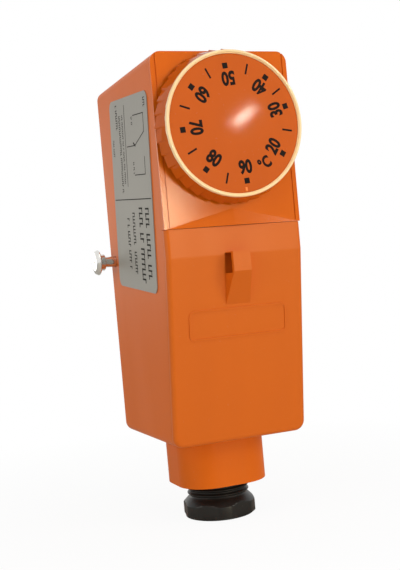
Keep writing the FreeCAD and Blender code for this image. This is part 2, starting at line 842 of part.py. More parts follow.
# Section of the pale bead: shares of its width, from outside in, and of its height.
BEAD = [(0, 0.45), (0.15, 0.85), (0.4, 1), (0.65, 0.95), (0.9, 0.75), (1, 0.5)]
ring_body = new_body("dial_ring")
bead = []
for wide, tall in BEAD:
    bead.append(("%s - ring_wide * %s" % (RING_OUT, wide), "-(%s + ring_tall * %s)" % (SKIRT_TOP, tall)))
RING_BACK = "-(%s - ring_seat)" % SKIRT_TOP
spun(
    ring_body, "ring_profile", [(RING_IN, RING_BACK), (RING_OUT, RING_BACK), *bead], "XY_Plane",
    "knob_high",
)

# Spindle with its collar, clip groove, flat and threaded end, in the bush of the chassis.
NUT_BACK = "(nut_front - nut_thick)"
SCREW_END = "(%s - screw_past)" % NUT_BACK
COLLAR_FRONT = "(%s - end_gap)" % BUSH_BACK
COLLAR_BACK = "(%s - collar_long)" % COLLAR_FRONT
CLIP_BACK = "(%s + end_gap)" % BUSH_FRONT
CLIP_FRONT = "(%s + clip_thick)" % CLIP_BACK
shaft = new_body("spindle_form")
spun(shaft, "spindle_profile", [
    ("0", "-" + SCREW_END),
    ("screw_radius - screw_point", "-" + SCREW_END),
    ("screw_radius", "-(%s + screw_point)" % SCREW_END),
    ("screw_radius", "-" + COLLAR_BACK),
    ("collar_radius", "-" + COLLAR_BACK),
    ("collar_radius", "-" + COLLAR_FRONT),
    ("spindle_radius", "-" + COLLAR_FRONT),
    ("spindle_radius", "-" + CLIP_BACK),
    ("spindle_radius - clip_groove", "-" + CLIP_BACK),
    ("spindle_radius - clip_groove", "-" + CLIP_FRONT),
    ("spindle_radius", "-" + CLIP_FRONT),
    ("spindle_radius", "-" + SPINDLE_END),
    ("0", "-" + SPINDLE_END),
], "XY_Plane", "knob_high")
shaft_flat = block(
    "spindle_flat_room", "-case_wide", "case_wide", "case_front", "2 * case_front",
    "knob_high + spindle_radius - spindle_flat", "knob_high + case_wide",
)
spindle = cut("spindle", shaft, shaft_flat)
clip_disc = rod("clip_disc", "clip_radius", CLIP_BACK, CLIP_FRONT, "0", "knob_high")
clip_eye = rod(
    "clip_eye", "spindle_radius - clip_groove", CLIP_BACK + " - past", CLIP_FRONT + " + past",
    "0", "knob_high",
)
clip_mouth = block(
    "clip_mouth", "-clip_mouth", "clip_mouth", CLIP_BACK + " - past", CLIP_FRONT + " + past",
    "knob_high", "knob_high + 2 * clip_radius",
)
spindle_clip = cut("spindle_clip", clip_disc, clip_eye, clip_mouth)
bush = new_body("spindle_bush")
spun(bush, "bush_profile", [
    ("spindle_radius + spindle_fit", "-" + BUSH_BACK),
    ("bush_flange", "-" + BUSH_BACK),
    ("bush_flange", "-(%s + bush_flange_thick)" % BUSH_BACK),
    ("bush_radius", "-(%s + bush_flange_thick)" % BUSH_BACK),
    ("bush_radius", "-" + BUSH_FRONT),
    ("spindle_radius + spindle_fit", "-" + BUSH_FRONT),
], "XY_Plane", "knob_high")

# Chassis: folded channel with feet on the back plate.
CHEEK_STEP = "(%s - case_wall - post_wide - past)" % TOP
POST_PAST = "(%s + post_long + past)" % PLATE_FRONT
FOLD_FACE = size("case_front") - size("front_wall") - size("chassis_gap")
chassis_form = new_body("chassis_form")
channel = side_view(chassis_form, "chassis_side", [
    (PLATE_FRONT, "chassis_foot"),
    (PLATE_FRONT, CHEEK_STEP),
    (POST_PAST, CHEEK_STEP),
    (POST_PAST, "chassis_top"),
    ("chassis_front", "chassis_top"),
    ("chassis_front", "chassis_fold"),
    ("switch_front", "chassis_fold"),
    ("switch_front", "switch_foot"),
    ("switch_back", "chassis_foot"),
], "2 * chassis_half")
rounded(
    chassis_form, "chassis_bends", channel, "sheet",
    lambda e: runs(e, 2) and middle(e).y < NEAR - FOLD_FACE,
)
channel_room = new_sketch(chassis_form, "chassis_room_sketch", "XZ_Plane", "0")
oblong(channel_room, "-" + CHEEK, CHEEK, FOOT, TOP)
channel_cut = raised(
    chassis_form, "chassis_room", channel_room, "chassis_front - sheet",
    kind="PartDesign::Pocket",
)
channel_cut.Reversed = True
feet = []
foot_rooms = []
foot_screws = []
FOOT_X = "(%s - foot_long / 2)" % CHEEK
FOOT_TOP = "(%s + sheet)" % PLATE_FRONT


def slotted(name, radius, shank, head_radius, head, across, up, slot):
    """Screw along Y: shank and head between two depths each, with a driver slot in the head."""
    body = join(
        name + "_blank", rod(name + "_shank", radius, shank[0], shank[1], across, up),
        rod(name + "_head", head_radius, head[0], head[1], across, up),
    )
    wide = "2 * (%s)" % head_radius
    room = block(
        name + "_slot", "%s - %s" % (across, wide), "%s + %s" % (across, wide), slot[0],
        slot[1], "%s - slot_cut / 2" % up, "%s + slot_cut / 2" % up,
    )
    return cut(name, body, room)


for side, hand in (("left", "-"), ("right", "")):
    for end, up in (("top", "foot_at"), ("foot", "(chassis_foot + foot_high / 2)")):
        edges = (
            "-%s - sheet / 2" % CHEEK, "-%s + foot_long" % CHEEK,
        ) if hand else ("%s - foot_long" % CHEEK, CHEEK + " + sheet / 2")
        feet.append(block(
            "chassis_foot_%s_%s" % (end, side), edges[0], edges[1], PLATE_FRONT, FOOT_TOP,
            up + " - foot_high / 2", up + " + foot_high / 2",
        ))
        across = hand + FOOT_X
        foot_rooms.append(rod(
            "foot_hole_%s_%s" % (end, side), "foot_screw", "0", FOOT_TOP + " + past", across,
            up,
        ))
        foot_screws.append(slotted(
            "chassis_screw_%s_%s" % (end, side), "foot_screw", ("pad_proud", FOOT_TOP),
            "foot_screw_head", (FOOT_TOP, FOOT_TOP + " + foot_head_tall"), across, up,
            (FOOT_TOP + " + foot_head_tall - slot_cut_deep", FOOT_TOP + " + 2 * foot_head_tall"),
        ))
bush_room = rod(
    "bush_room", "bush_radius", "chassis_front - 2 * sheet", "chassis_front + sheet", "0",
    "knob_high",
)
pin_room = bar("pin_room", "pivot_radius", "-case_wide", "case_wide", "pivot_front", "pivot_high")
SIDE_SCREW_AHEAD = "((switch_front + switch_back) / 2)"
SIDE_SCREW_IN = "(%s - switch_fit - mount_screw_at)" % CHEEK
side_room = bar(
    "switch_screw_room", "foot_screw", "-case_wide", "case_wide", SIDE_SCREW_AHEAD,
    "switch_middle",
)
chassis = cut(
    "chassis", join("chassis_blank", chassis_form, *feet), bush_room, pin_room, side_room,
    *foot_rooms,
)

# Range nut between the cheeks, and the range spring behind it.
nut_bar = block(
    "nut_bar", "-%s + nut_fit" % CHEEK, CHEEK + " - nut_fit", NUT_BACK, "nut_front",
    "knob_high - nut_high / 2", "knob_high + nut_high / 2",
)
nut_pilot = rod(
    "nut_pilot", "spring_radius - spring_wire - nut_fit", NUT_BACK + " - pilot_long",
    NUT_BACK + " + nut_thick / 2", "0", "knob_high",
)
nut_room = rod("nut_thread", "screw_radius + screw_fit", "0", "case_front", "0", "knob_high")
spring_nut = cut("spring_nut", join("nut_blank", nut_bar, nut_pilot), nut_room)


def coil():
    """Round wire wound between the nut and the lever."""
    wire = size("spring_wire")
    radius = size("spring_radius")
    lever_face = size("pad_proud") + size("plate_thick") + size("lever_off")
    back = lever_face + size("spring_gap")
    front = lever_face + size("nut_off") - size("nut_thick")
    axis = size("case_high") / 2 - size("knob_in")
    height = front - back - 2 * wire
    pitch = height / size("spring_turns")
    path = Part.makeHelix(pitch, height, radius)
    section = Part.Wire(Part.makeCircle(wire, V(radius, 0, 0), V(0, 1, pitch / (math.tau * radius))))
    wound = Part.Wire(path.Edges).makePipeShell([section], True, True)
    wound.Placement = FreeCAD.Placement(V(0, -back - wire, axis), FreeCAD.Rotation(V(1, 0, 0), 90))
    return wound


range_spring = doc.addObject("Part::Feature", "range_spring")
range_spring.Shape = coil()

# Lever on its pin, from the spring down to the switch plunger.
LEVER_BACK = "(lever_front - lever_thick)"
LEVER_SIDE = "(%s - nut_fit)" % CHEEK
arm = block(
    "lever_arm", "-lever_half", "lever_half", LEVER_BACK, "lever_front", "lever_foot",
    "lever_top",
)
cross = block(
    "lever_cross", "-" + LEVER_SIDE, LEVER_SIDE, LEVER_BACK, "lever_front",
    "pivot_high - lever_cheek", "pivot_high + lever_cheek",
)
ears = []
for side, left, right in (
    ("left", "-" + LEVER_SIDE, "-%s + lever_thick" % LEVER_SIDE),
    ("right", LEVER_SIDE + " - lever_thick", LEVER_SIDE),
):
    ears.append(block(
        "lever_ear_" + side, left, right, "pivot_front - lever_cheek", "lever_front",
        "pivot_high - lever_cheek", "pivot_high + lever_cheek",
    ))
lever_room = bar(
    "lever_pin_room", "pivot_radius + pivot_fit", "-case_wide", "case_wide", "pivot_front",
    "pivot_high",
)
lever = cut("lever", join("lever_blank", arm, cross, *ears), lever_room)
pin_shank = bar("pin_shank", "pivot_radius", "-chassis_half", "chassis_half", "pivot_front", "pivot_high")
pin_left = bar(
    "pin_head_left", "pivot_head", "-chassis_half - pivot_head_long", "-chassis_half",
    "pivot_front", "pivot_high",
)
pin_right = bar(
    "pin_head_right", "pivot_head", "chassis_half", "chassis_half + pivot_head_long",
    "pivot_front", "pivot_high",
)
pivot_pin = join("pivot_pin", pin_shank, pin_left, pin_right)

# Back plate with its ears, sensing plate, rivets and the screws of the case.
PLATE_SIDE = "(%s - plate_fit)" % INNER
plate_body = new_body("back_plate_form")
plate_sketch = new_sketch(plate_body, "back_plate_sketch", "XZ_Plane", "pad_proud")
oblong(
    plate_sketch, "-" + PLATE_SIDE, PLATE_SIDE, FOOT + " + floor_thick + plate_fit",
    TOP + " - case_wall - plate_fit",
)
raised(plate_body, "back_plate_pad", plate_sketch, "plate_thick")
plate_ears = []
for side, left, right in (
    ("left", "-" + PLATE_SIDE, "-%s + ear_thick" % PLATE_SIDE),
    ("right", PLATE_SIDE + " - ear_thick", PLATE_SIDE),
):
    plate_ears.append(block(
        "plate_ear_" + side, left, right, "pad_proud", PLATE_FRONT + " + ear_high",
        "-ear_wide / 2", "ear_wide / 2",
    ))
ear_room = bar("ear_room", "stud_stem", "-case_wide", "case_wide", "stud_front", "0")
plate_rooms = []
case_screws = []
for side, hand in (("left", "-"), ("right", "")):
    for end, up in CASE_SCREW_Z.items():
        across = hand + CASE_SCREW_X
        plate_rooms.append(rod(
            "plate_hole_%s_%s" % (end, side), "case_screw", "0", "case_front / 2", across, up,
        ))
        case_screws.append(slotted(
            "plate_screw_%s_%s" % (end, side), "case_screw",
            ("pad_proud", PLATE_FRONT + " + case_screw_long - case_screw_short"), "case_head",
            ("pad_proud - case_head_tall", "pad_proud"), across, up,
            ("-past", "pad_proud - case_head_tall + slot_cut_deep"),
        ))
STRIP_BACK = PLATE_FRONT
STRIP_FRONT = "(%s + strip_thick)" % PLATE_FRONT
RIVET_STEP = "((strip_fold - strip_foot) / 4)"
rivet_rooms = []
rivets = []
for name, up, top in (
    ("bimetal_rivet_foot", "(strip_foot + %s)" % RIVET_STEP, STRIP_FRONT),
    ("bimetal_rivet_top", "(strip_fold - %s)" % RIVET_STEP, STRIP_FRONT),
    ("sensing_rivet_foot", "(rivet_in - sense_high / 2)", PLATE_FRONT),
    ("sensing_rivet_top", "(sense_high / 2 - rivet_in)", PLATE_FRONT),
):
    rivet_rooms.append(rod(name + "_room", "rivet_radius", "-past", top + " + past", "0", up))
    rivets.append(join(
        name, rod(name + "_shank", "rivet_radius", "pad_proud / 4", top, "0", up),
        rod(name + "_head", "rivet_head", top, top + " + rivet_head_tall", "0", up),
    ))
back_plate = cut(
    "back_plate", join("back_plate_blank", plate_body, *plate_ears), ear_room, *plate_rooms,
    *foot_rooms, *rivet_rooms,
)
sense = new_body("sensing_form")
sense_sketch = new_sketch(sense, "sensing_sketch", "XZ_Plane", "0")
oblong(sense_sketch, "-sense_wide / 2", "sense_wide / 2", "-sense_high / 2", "sense_high / 2")
sense_pad = raised(sense, "sensing_pad", sense_sketch, "pad_proud")
sense_ends = rounded(sense, "sensing_corners", sense_pad, "2 * sense_edge", lambda e: runs(e, 1))
rounded(
    sense, "sensing_edge", sense_ends, "sense_edge / 2",
    lambda e: abs(middle(e).y) < NEAR and e.BoundBox.YLength < NEAR, kind="PartDesign::Chamfer",
)
sensing_plate = cut("sensing_plate", sense, *rivet_rooms)

# Bimetal strip, riveted at its foot, with the adjusting screw at its tip.
# The strip steps out at half a right angle, so its inner corners lie this much higher.
MITRE = "strip_thick * tan(45 / 2)"
strip_body = new_body("bimetal_form")
side_view(strip_body, "bimetal_side", [
    (STRIP_BACK, "strip_foot"),
    (STRIP_FRONT, "strip_foot"),
    (STRIP_FRONT, "strip_fold"),
    (STRIP_FRONT + " + strip_off", "strip_fold + strip_off"),
    (STRIP_FRONT + " + strip_off", "strip_top"),
    (STRIP_BACK + " + strip_off", "strip_top"),
    (STRIP_BACK + " + strip_off", "strip_fold + strip_off + %s" % MITRE),
    (STRIP_BACK, "strip_fold + " + MITRE),
], "strip_wide")
adjust_room = rod("adjust_room", "adjust_radius", "0", "case_front / 2", "0", "adjust_high")
bimetal_strip = cut("bimetal_strip", strip_body, adjust_room, *rivet_rooms[:2])
TIP_FRONT = "(%s + strip_off)" % STRIP_FRONT
adjust_shank = rod(
    "adjust_shank", "adjust_radius", STRIP_BACK + " + strip_off - adjust_back",
    LEVER_BACK + " - adjust_gap", "0", "adjust_high",
)
adjust_collar = rod(
    "adjust_collar", "adjust_head", TIP_FRONT, TIP_FRONT + " + adjust_head_tall", "0",
    "adjust_high",
)
calibration_screw = join("calibration_screw", adjust_shank, adjust_collar)

# Switch, its plunger, and the terminal block with clamps and screws.
SWITCH_SIDE = "(%s - switch_fit)" % CHEEK
PLUNGER_BACK = "(lever_front + plunger_gap)"
PLUNGER_FRONT = "(%s + plunger_long)" % PLUNGER_BACK
switch_body = new_body("switch_form")
switch_sketch = new_sketch(switch_body, "switch_sketch", "XZ_Plane", "switch_back")
oblong(switch_sketch, "-" + SWITCH_SIDE, SWITCH_SIDE, "switch_foot", "switch_top")
switch_pad = raised(switch_body, "switch_pad", switch_sketch, "switch_front - switch_back")
rounded(
    switch_body, "switch_edges", switch_pad, "slot_cut", lambda e: runs(e, 1),
    kind="PartDesign::Chamfer",
)
switch_nose = rod(
    "switch_nose", "2 * plunger_radius", "switch_back - slot_cut_deep", "switch_back + past",
    "0", "plunger_high",
)
plunger_room = rod(
    "plunger_bore", "plunger_radius + plunger_fit", "0", PLUNGER_FRONT + " + plunger_room", "0",
    "plunger_high",
)
switch_case = cut("switch_case", join("switch_blank", switch_body, switch_nose), plunger_room, side_room)
switch_screws = []
for side, left, right, head_left, head_right in (
    ("left", "-chassis_half", "-" + SIDE_SCREW_IN, "-chassis_half - foot_head_tall", "-chassis_half"),
    ("right", SIDE_SCREW_IN, "chassis_half", "chassis_half", "chassis_half + foot_head_tall"),
):
    shank = bar(
        "switch_screw_shank_" + side, "foot_screw", left, right, SIDE_SCREW_AHEAD,
        "switch_middle",
    )
    head = bar(
        "switch_screw_head_" + side, "foot_screw_head", head_left, head_right, SIDE_SCREW_AHEAD,
        "switch_middle",
    )
    switch_screws.append(join("switch_screw_" + side, shank, head))
plunger = new_body("switch_plunger")
spun(plunger, "plunger_profile", [
    ("0", "-" + PLUNGER_BACK),
    ("plunger_radius - plunger_point", "-" + PLUNGER_BACK),
    ("plunger_radius", "-(%s + plunger_point)" % PLUNGER_BACK),
    ("plunger_radius", "-" + PLUNGER_FRONT),
    ("0", "-" + PLUNGER_FRONT),
], "XY_Plane", "plunger_high")

CELL_BACK = "(block_front - terminal_deep)"
CELL_FOOT = "(block_foot + block_wall)"
CELL_TOP = "(%s + terminal_high)" % CELL_FOOT
CLAMP_HALF = "(terminal_wide / 2 - terminal_fit)"
CLAMP_FRONT = "(%s + terminal_deep - terminal_head_tall - terminal_lift)" % CELL_BACK
WIRE_AHEAD = "(%s + wire_hole + wire_floor)" % CELL_BACK
block_body = new_body("terminal_block_form")
block_sketch = new_sketch(block_body, "terminal_block_sketch", "XZ_Plane", "switch_front")
oblong(block_sketch, "-block_half", "block_half", "block_foot", "block_top")
block_pad = raised(block_body, "terminal_block_pad", block_sketch, "block_front - switch_front")
cells = []
clamps = []
clamp_screws = []
for at, word in ((-1, "left"), (0, "middle"), (1, "right")):
    across = "(%d * terminal_step)" % at
    up = "((%s + %s) / 2)" % (CELL_FOOT, CELL_TOP)
    cells.append(block(
        "cell_" + word, across + " - terminal_wide / 2", across + " + terminal_wide / 2",
        CELL_BACK, "block_front + past", CELL_FOOT, CELL_TOP,
    ))
    cells.append(column(
        "wire_way_" + word, "wire_hole", "block_foot - past", CELL_FOOT + " + past", across,
        WIRE_AHEAD,
    ))
    blank = block(
        "clamp_blank_" + word, "%s - %s" % (across, CLAMP_HALF),
        "%s + %s" % (across, CLAMP_HALF), CELL_BACK, CLAMP_FRONT, CELL_FOOT + " + terminal_fit",
        CELL_TOP + " - terminal_fit",
    )
    way = column("clamp_way_" + word, "wire_hole", "block_foot", "block_top", across, WIRE_AHEAD)
    thread = rod("clamp_thread_" + word, "terminal_screw", WIRE_AHEAD, "block_front", across, up)
    clamps.append(cut("terminal_clamp_" + word, blank, way, thread))
    clamp_screws.append(slotted(
        "terminal_screw_" + word, "terminal_screw",
        (WIRE_AHEAD + " + wire_hole / 2", CLAMP_FRONT), "terminal_head",
        (CLAMP_FRONT, CLAMP_FRONT + " + terminal_head_tall"), across, up,
        (CLAMP_FRONT + " + terminal_head_tall - slot_cut_deep", "2 * block_front"),
    ))
terminal_block = cut("terminal_block", block_body, *cells)
EARTH_FRONT = "(%s + terminal_high)" % PLATE_FRONT
EARTH_WAY = "(%s + terminal_high / 2)" % PLATE_FRONT
earth_blank = block(
    "earth_blank", "earth_at - terminal_wide / 2", "earth_at + terminal_wide / 2", PLATE_FRONT,
    EARTH_FRONT, "earth_high - terminal_high / 2", "earth_high + terminal_high / 2",
)
earth_way = column(
    "earth_way", "wire_hole", "earth_high - terminal_high", "earth_high + terminal_high",
    "earth_at", EARTH_WAY,
)
earth_thread = rod(
    "earth_thread", "terminal_screw", EARTH_WAY, EARTH_FRONT + " + past", "earth_at",
    "earth_high",
)
earth_clamp = cut("earth_clamp", earth_blank, earth_way, earth_thread)
earth_screw = slotted(
    "earth_screw", "terminal_screw", (EARTH_WAY + " + wire_hole / 2", EARTH_FRONT),
    "terminal_head", (EARTH_FRONT, EARTH_FRONT + " + terminal_head_tall"), "earth_at",
    "earth_high", (EARTH_FRONT + " + terminal_head_tall - slot_cut_deep", "case_front"),
)

# Strap studs through the side walls, riveted in the ears of the back plate.
for side, hand in (("left", "-"), ("right", "")):
    stud = new_body("strap_stud_" + side)
    stud_sketch = new_sketch(stud, "stud_sketch_" + side, "XY_Plane", "0", "-stud_front")
    wall_in = hand + "(%s - ear_thick)" % PLATE_SIDE
    collar_in = hand + "(%s + stud_collar_at)" % HALF
    collar_out = hand + "(%s + stud_collar_at + stud_collar_long)" % HALF
    head_out = hand + "(%s + stud_collar_at + stud_collar_long + stud_head_long)" % HALF
    head_edge = hand + "(%s + stud_collar_at + stud_collar_long + stud_head_long - stud_head_edge)" % HALF
    outline(stud_sketch, [
        (wall_in, "0"),
        (wall_in, "stud_stem"),
        (collar_in, "stud_stem"),
        (collar_in, "stud_collar"),
        (collar_out, "stud_collar"),
        (collar_out, "stud_head"),
        (head_edge, "stud_head"),
        (head_out, "stud_head - stud_head_round"),
        (head_out, "0"),
    ])
    turned = stud.newObject("PartDesign::Revolution", "stud_turned_" + side)
    turned.Profile = stud_sketch
    turned.ReferenceAxis = (stud_sketch, ["H_Axis"])
    turned.Angle = 360

# Gland: compression screw with a hexagon head, washer and seal in the boss.
GLAND_TOP = "(%s + shank_in)" % BOSS_FOOT
NECK_FOOT = "(%s - neck_show)" % BOSS_FOOT
HEX_TOP = "(%s - cone_long)" % NECK_FOOT
HEAD_FOOT = "(%s - hex_long)" % HEX_TOP
HEAD_OUT = "(hex_flats / 2 / cos(30) - hex_chamfer)"
SHANK = "(gland_bore - gland_fit)"
gland_form = new_body("gland_form")
spun(gland_form, "gland_profile", [
    ("cable_bore", HEAD_FOOT),
    (HEAD_OUT + " - hex_chamfer", HEAD_FOOT),
    (HEAD_OUT, HEAD_FOOT + " + hex_chamfer"),
    (HEAD_OUT, HEX_TOP),
    (SHANK, NECK_FOOT),
    (SHANK, GLAND_TOP),
    ("cable_bore", GLAND_TOP),
], "XZ_Plane", "boss_front")
hexagon = doc.addObject("Part::Prism", "gland_hexagon")
hexagon.Polygon = 6
bind(hexagon, Circumradius="hex_flats / 2 / cos(30)", Height="%s - %s" % (GLAND_TOP, HEAD_FOOT))
stand(hexagon, "0", "boss_front", HEAD_FOOT, V(0, 0, 1), "30 + hex_turn")
gland_screw = shared("gland_screw", gland_form, hexagon)


def packing(name, foot, top, eye):
    """Ring in the boss above the gland screw."""
    ring = column(name + "_ring", "gland_bore - ring_fit", foot, top, **BOSS_AT)
    return cut(name, ring, column(name + "_eye", eye, foot + " - past", top + " + past", **BOSS_AT))


gland_washer = packing("gland_washer", GLAND_TOP, GLAND_TOP + " + washer_thick", "cable_bore + ring_fit")
gland_seal = packing(
    "gland_seal", GLAND_TOP + " + washer_thick", GLAND_TOP + " + washer_thick + seal_thick",
    "cable_bore",
)

# Rating label on the left side, turned a little as it was stuck on.
label = new_body("label")
label_sketch = new_sketch(label, "label_sketch", "YZ_Plane", "-" + HALF)
bind(label_sketch, AttachmentOffset__Base__x="-label_front", AttachmentOffset__Base__y="label_up")
label_sketch.AttachmentOffset.Rotation = FreeCAD.Rotation(V(0, 0, 1), 1)
bind(label_sketch, AttachmentOffset__Rotation__Angle="label_turn")
oblong(label_sketch, "-label_wide / 2", "label_wide / 2", "-label_high / 2", "label_high / 2")
label_pad = raised(label, "label_pad", label_sketch, "label_thick")
label_pad.Reversed = True
rounded(label, "label_corners", label_pad, "label_corner", lambda e: runs(e, 0))

STUDS = [doc.getObject("strap_stud_left"), doc.getObject("strap_stud_right")]
NODES = [
    housing, lower_cover, knob, ring_body, *STUDS, label, gland_screw, gland_washer, gland_seal,
    back_plate, sensing_plate, *case_screws, *rivets, bimetal_strip, calibration_screw, chassis,
    *foot_screws, bush, spindle, spindle_clip, spring_nut, range_spring, lever, pivot_pin, switch_case,
    *switch_screws, plunger, terminal_block, *clamps, *clamp_screws, earth_clamp, earth_screw,
]

doc.recompute()
failed = [thing.Name for thing in doc.Objects if "Invalid" in thing.State or "Error" in thing.State]
if failed:
    raise RuntimeError("not computed: %s" % ", ".join(failed))
os.makedirs("parts", exist_ok=True)
for node in NODES:
    shape = node.Shape
    if shape.isNull() or not shape.isValid() or len(shape.Solids) != 1:
        raise RuntimeError("bad shape: %s with %d solids" % (node.Label, len(shape.Solids)))
    shape.exportStep("parts/%s.step" % node.Label)
    print("%s: %.1f cubic millimetres" % (node.Label, shape.Volume))
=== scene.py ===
"""Looks of the pipe surface thermostat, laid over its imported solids."""

import json
import logging
import math
import random
from dataclasses import dataclass, field
from enum import Enum
from typing import Sequence

import bmesh
import bpy
from mathutils import Matrix, Vector


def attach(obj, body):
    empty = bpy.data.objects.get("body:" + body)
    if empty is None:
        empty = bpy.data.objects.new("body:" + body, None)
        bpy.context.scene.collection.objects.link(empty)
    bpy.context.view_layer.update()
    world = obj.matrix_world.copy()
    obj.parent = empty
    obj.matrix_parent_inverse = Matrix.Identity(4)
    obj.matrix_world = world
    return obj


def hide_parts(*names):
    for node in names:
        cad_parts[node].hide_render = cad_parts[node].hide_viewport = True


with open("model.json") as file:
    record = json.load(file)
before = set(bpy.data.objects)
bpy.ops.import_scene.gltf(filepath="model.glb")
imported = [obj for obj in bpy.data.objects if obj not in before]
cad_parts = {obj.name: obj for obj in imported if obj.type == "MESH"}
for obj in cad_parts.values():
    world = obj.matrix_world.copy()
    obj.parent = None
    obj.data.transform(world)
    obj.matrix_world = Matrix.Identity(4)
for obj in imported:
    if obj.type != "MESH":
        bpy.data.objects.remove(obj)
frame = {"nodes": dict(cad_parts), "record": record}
LOG = logging.getLogger("thermostat")
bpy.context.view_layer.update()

Colour = tuple[float, float, float]
Point = tuple[float, float, float]
Pair = tuple[float, float]
Profile = list[Pair]
Values = dict[str, object]
Tree = bpy.types.NodeTree
Node = bpy.types.Node
Socket = bpy.types.NodeSocket
Material = bpy.types.Material
Thing = bpy.types.Object
Shape = bmesh.types.BMesh
Corner = bmesh.types.BMVert
Edge = bmesh.types.BMEdge

MM = 0.001
ORIGIN: Point = (0.0, 0.0, 0.0)
QUARTER_TURN = math.pi / 2
SAME_PLACE = 1e-7
WARM_WHITE: Colour = (1.0, 0.94, 0.80)
LOW_SUN: Colour = (1.0, 0.88, 0.60)
SOFT_SKY: Colour = (1.0, 0.97, 0.92)
PURE_WHITE: Colour = (1.0, 1.0, 1.0)


def from_screen(red: int, green: int, blue: int) -> Colour:
    """Turns a screen colour of 0 to 255 into scene-linear light by the standard screen curve.

    Args:
        red: Red part.
        green: Green part.
        blue: Blue part.

    Returns:
        The three linear parts.
    """
    parts = []
    for value in (red, green, blue):
        share = value / 255
        parts.append(share / 12.92 if share <= 0.04045 else ((share + 0.055) / 1.055) ** 2.4)
    return (parts[0], parts[1], parts[2])


class Body(Enum):
    """The rigid bodies that pieces ride on."""

    CASE = "case"
    KNOB = "setting_knob"
    GLAND = "gland"


class Grain(Enum):
    """Surface characters of moulded pieces: depth of the grain and its scale."""

    POLISHED = (0.04, 420.0)
    SATIN = (0.16, 520.0)
    MATT = (0.35, 760.0)


class MixOf(Enum):
    """What a Mix node mixes: its data type, the inputs of both sides and its output."""

    NUMBERS = ("FLOAT", 2, 3, 0)
    COLOURS = ("RGBA", 6, 7, 2)


def put(tree: Tree, slot: Socket, value: object) -> None:
    """Gives an input its value, or links it where the value is another node's output.

    Args:
        tree: Tree that both nodes are in.
        slot: The input.
        value: Number, colour, vector or output.
    """
    if isinstance(value, Socket):
        tree.links.new(value, slot)
    else:
        slot.default_value = value


def fill(tree: Tree, node: Node, values: Values) -> Node:
    """Gives the named inputs of a node their values.

    Args:
        tree: Tree that the node is in.
        node: The node.
        values: Value or output for each named input.

    Returns:
        The same node.
    """
    for name, value in values.items():
        put(tree, node.inputs[name], value)
    return node


def add_node(tree: Tree, kind: str, values: Values) -> Node:
    """Adds a node of a kind and fills its named inputs."""
    return fill(tree, tree.nodes.new(kind), values)


def add_group(tree: Tree, group: Tree, values: Values) -> Node:
    """Places a shared group in a tree.

    Args:
        tree: Tree to add it to.
        group: The shared group.
        values: Value for each of its inputs.

    Returns:
        The group's node.
    """
    node = tree.nodes.new("ShaderNodeGroup")
    node.node_tree = group
    return fill(tree, node, values)


def worked(tree: Tree, operation: str, first: object, second: object = 0.0) -> Socket:
    """Adds a math node.

    Args:
        tree: Tree to add it to.
        operation: Name of the operation.
        first: Output or number.
        second: Output or number.

    Returns:
        The result.
    """
    node = tree.nodes.new("ShaderNodeMath")
    node.operation = operation
    put(tree, node.inputs[0], first)
    put(tree, node.inputs[1], second)
    return node.outputs[0]


def mixed(tree: Tree, kind: MixOf, share: Socket, first: object, second: object) -> Socket:
    """Mixes two numbers or two colours.

    Args:
        tree: Tree to add the node to.
        kind: What is mixed.
        share: Share of the second side.
        first: Output, number or colour.
        second: Output, number or colour.

    Returns:
        The result.
    """
    data_type, left, right, out = kind.value
    mix = tree.nodes.new("ShaderNodeMix")
    mix.data_type = data_type
    for at, value in ((0, share), (left, first), (right, second)):
        put(tree, mix.inputs[at], value)
    return mix.outputs[out]


def mixed_shaders(tree: Tree, share: Socket, first: Node, second: Node) -> Socket:
    """Mixes what two shader nodes give.

    Args:
        tree: Tree to add the node to.
        share: Share of the second shader.
        first: First shader.
        second: Second shader.

    Returns:
        The mixed shader.
    """
    mix = add_node(tree, "ShaderNodeMixShader", {"Fac": share})
    tree.links.new(first.outputs[0], mix.inputs[1])
    tree.links.new(second.outputs[0], mix.inputs[2])
    return mix.outputs[0]


def own_place(tree: Tree) -> Socket:
    """Adds a node that gives the piece's own coordinates."""
    return tree.nodes.new("ShaderNodeTexCoord").outputs["Object"]


def length_of(tree: Tree, vector: Socket) -> Socket:
    """Measures a vector.

    Args:
        tree: Tree to add the node to.
        vector: The vector.

    Returns:
        Its length.
    """
    node = tree.nodes.new("ShaderNodeVectorMath")
    node.operation = "LENGTH"
    tree.links.new(vector, node.inputs[0])
    return node.outputs["Value"]


def spread(
    tree: Tree, value: Socket, low: float, high: float, start: float = 0.0, end: float = 1.0
) -> Socket:
    """Spreads a value that runs from start to end over the numbers from low to high."""
    limits = {"Value": value, "From Min": start, "From Max": end, "To Min": low, "To Max": high}
    return add_node(tree, "ShaderNodeMapRange", limits).outputs["Result"]


def embossed(tree: Tree, height: Socket, strength: float, deep: float, **over: Socket) -> Socket:
    """Turns a height that changes over the surface into a normal.

    Args:
        tree: Tree to add the node to.
        height: The height.
        strength: Strength of the relief.
        deep: Depth of the relief, in millimetres.
        over: The input Normal, where the relief lies over another one.

    Returns:
        The normal.
    """
    values = {"Height": height, "Strength": strength, "Distance": deep * MM, **over}
    return add_node(tree, "ShaderNodeBump", values).outputs["Normal"]


def new_material(name: str) -> Material:
    """Makes a material that starts with one plain shader.

    Args:
        name: Its name.

    Returns:
        The material.
    """
    material = bpy.data.materials.new(name)
    material.use_nodes = True
    return material


